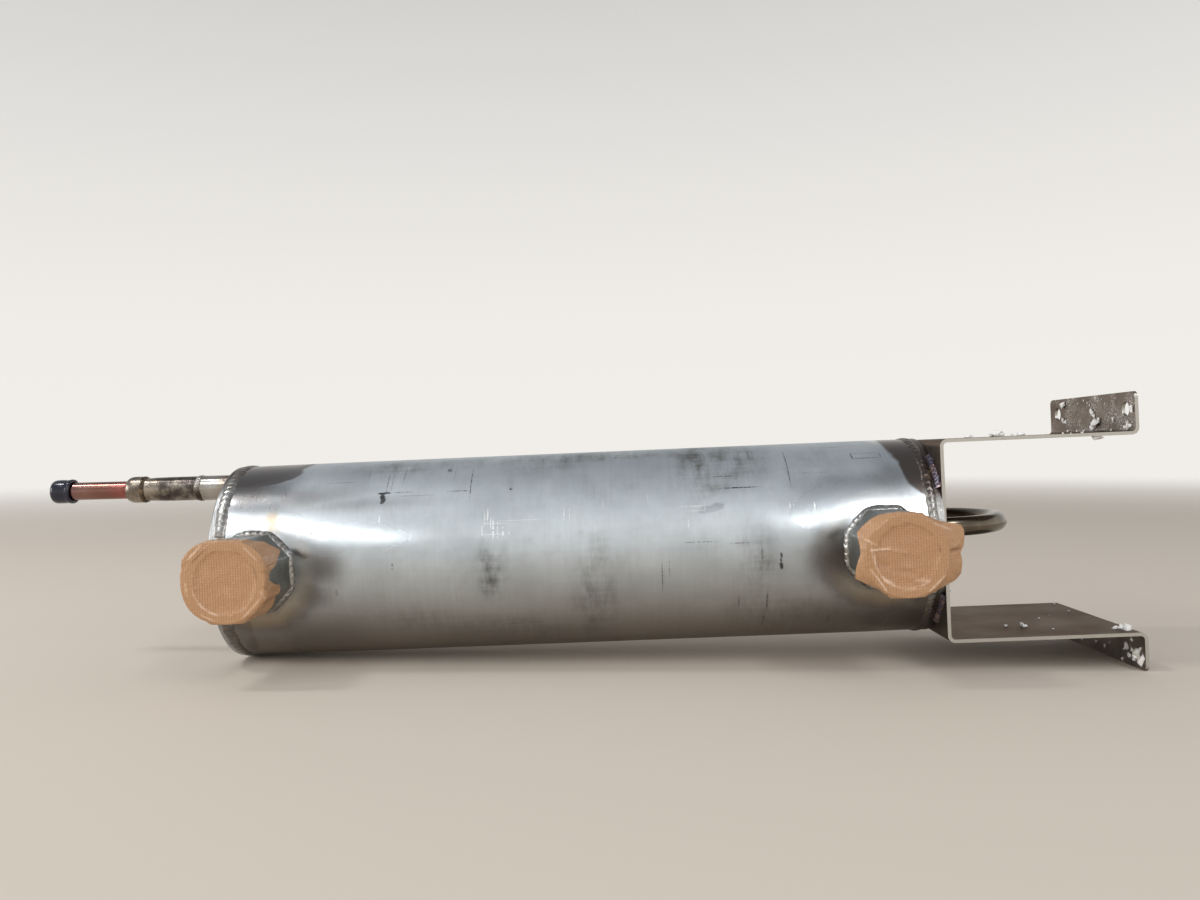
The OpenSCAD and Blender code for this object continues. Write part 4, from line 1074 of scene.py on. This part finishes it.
# Each line: the way off the sheet that they lie on, and the crumbs on it as
# x, y, z and size in mm
crumbs = [
    ((0, 0, 1), [
        (-136.9, -74, 82.7, 2.3), (-133, -75, 82.7, 1.3), (-116.8, -74, 82.7, 1.5), (-112.7, -73, 82.7, 3.4),
        (-110, -75, 82.7, 1.9), (-100.6, -74, 82.7, 1.1), (-94.2, -74, 82.7, 1.9), (-91.5, -73, 82.7, 1.2),
        (-60, -75, 82.7, 0.9), (-54, -75.5, 82.7, 0.7), (-45, -75, 82.7, 0.8)]),
    ((-1, 0, 0), [
        (-2.8, 48.5, 109.8, 2.6), (-2.8, 49.9, 95.3, 1.8), (-2.8, 45, 93.4, 1.2), (-2.8, -7.1, 100.2, 2.2),
        (-2.8, -9.2, 96.6, 1.8), (-2.8, -14.4, 91.6, 3.4), (-2.8, -10.8, 88.6, 1.8), (-2.8, -18.5, 93.6, 1.5),
        (-2.8, -5.7, 86.2, 1.7), (-2.8, -42.3, 92.9, 1.2), (-2.8, -73.1, 101.3, 2.2), (-2.8, -62.2, 99, 1.2),
        (-2.8, -65.8, 86.5, 2.6), (-2.8, -69.5, 87.5, 1.6), (-2.8, -61.5, 86, 1.3), (-2.8, 40.8, 84.7, 1.1),
        (-2.8, 23.5, 84.2, 0.9), (-2.8, 9.2, 84.4, 1.2), (-2.8, -38.7, 84.4, 1), (-2.8, -13.5, 112.2, 0.7),
        (-2.8, -47.6, 110.4, 0.7), (-2.8, 8.5, 111.5, 0.7), (-2.8, -29, 107, 0.6), (-2.8, -2, 107, 0.6),
        (-2.8, -24, 111, 0.5), (-2.8, 20, 109.5, 0.5), (-2.8, 2, 109, 0.6)]),
    ((0, 0, -1), [(-33.2, -74.5, 79.9, 2.8), (-31, -75, 79.9, 1.6)]),
    ((0, 0, 1), [
        (-95.7, -31.3, -79.9, 1.2), (-83.2, -33.9, -79.9, 2.1), (-81.6, -36.5, -79.9, 1.6),
        (-54.8, -0.9, -79.9, 0.7), (-16.2, 26.6, -79.9, 1), (-9.5, -63.3, -79.9, 3),
        (-13.5, -61, -79.9, 2.2), (-17, -58, -79.9, 1.6), (-10, 70, -79.9, 0.7), (-64, -50, -79.9, 0.5),
        (-40, 12, -79.9, 0.5)]),
    ((-1, 0, 0), [
        (-2.8, 4.1, -103, 1.1), (-2.8, -12.1, -103.4, 1.3), (-2.8, -49, -95.9, 2),
        (-2.8, -53.7, -102.6, 1.7), (-2.8, -41, -109, 1.2), (-2.8, -66.9, -97.1, 2.5),
        (-2.8, -73.5, -102.4, 3), (-2.8, -60.2, -104.6, 1.7), (-2.8, 31.1, -106.3, 0.9),
        (-2.8, -57.8, -88.9, 1.4), (-2.8, -45.5, -98.8, 1.2), (-2.8, -20, -99, 0.8),
        (-2.8, -70, -94.5, 1.3), (-2.8, -56.5, -98, 1.2)]),
    ((1, 0, 0), [(-157.2, -76, -40.8, 0.7)])]
corners = 13
lies_deep = 0.5
shapes = random.Random(17)
bm = bmesh.new()
for off, places in crumbs:
    off = Vector(off)
    for x, y, z, size in places:
        at = Vector((x, y, z)) * mm + off * size * lies_deep * mm
        turn = Matrix.Rotation(shapes.uniform(0, 6.3), 3, off)
        long = size * 1.35 * mm
        wide = size * shapes.uniform(0.75, 1.15) * mm
        high = size * shapes.uniform(0.95, 1.35) * (1.4 if off.z > 0 else 1) * mm
        across = off.orthogonal()
        crumb = []
        for corner in range(corners):
            way = Vector([shapes.gauss(0, 1) for axis in range(3)]).normalized() * shapes.uniform(0.75, 1.15)
            point = turn @ (across * way.x * long + across.cross(off) * way.y * wide) + off * way.z * high
            # Pressed flat where it lies on the sheet
            sunk = min(point.dot(off) + size * lies_deep * mm, 0)
            crumb.append(bm.verts.new(at + point - off * sunk))
        hull = bmesh.ops.convex_hull(bm, input=crumb)
        inside = set(hull["geom_interior"] + hull["geom_unused"])
        bmesh.ops.delete(bm, geom=list(inside), context="VERTS")
place(bm, "foam_crumbs", material, "bracket_sheet", sharp=20)
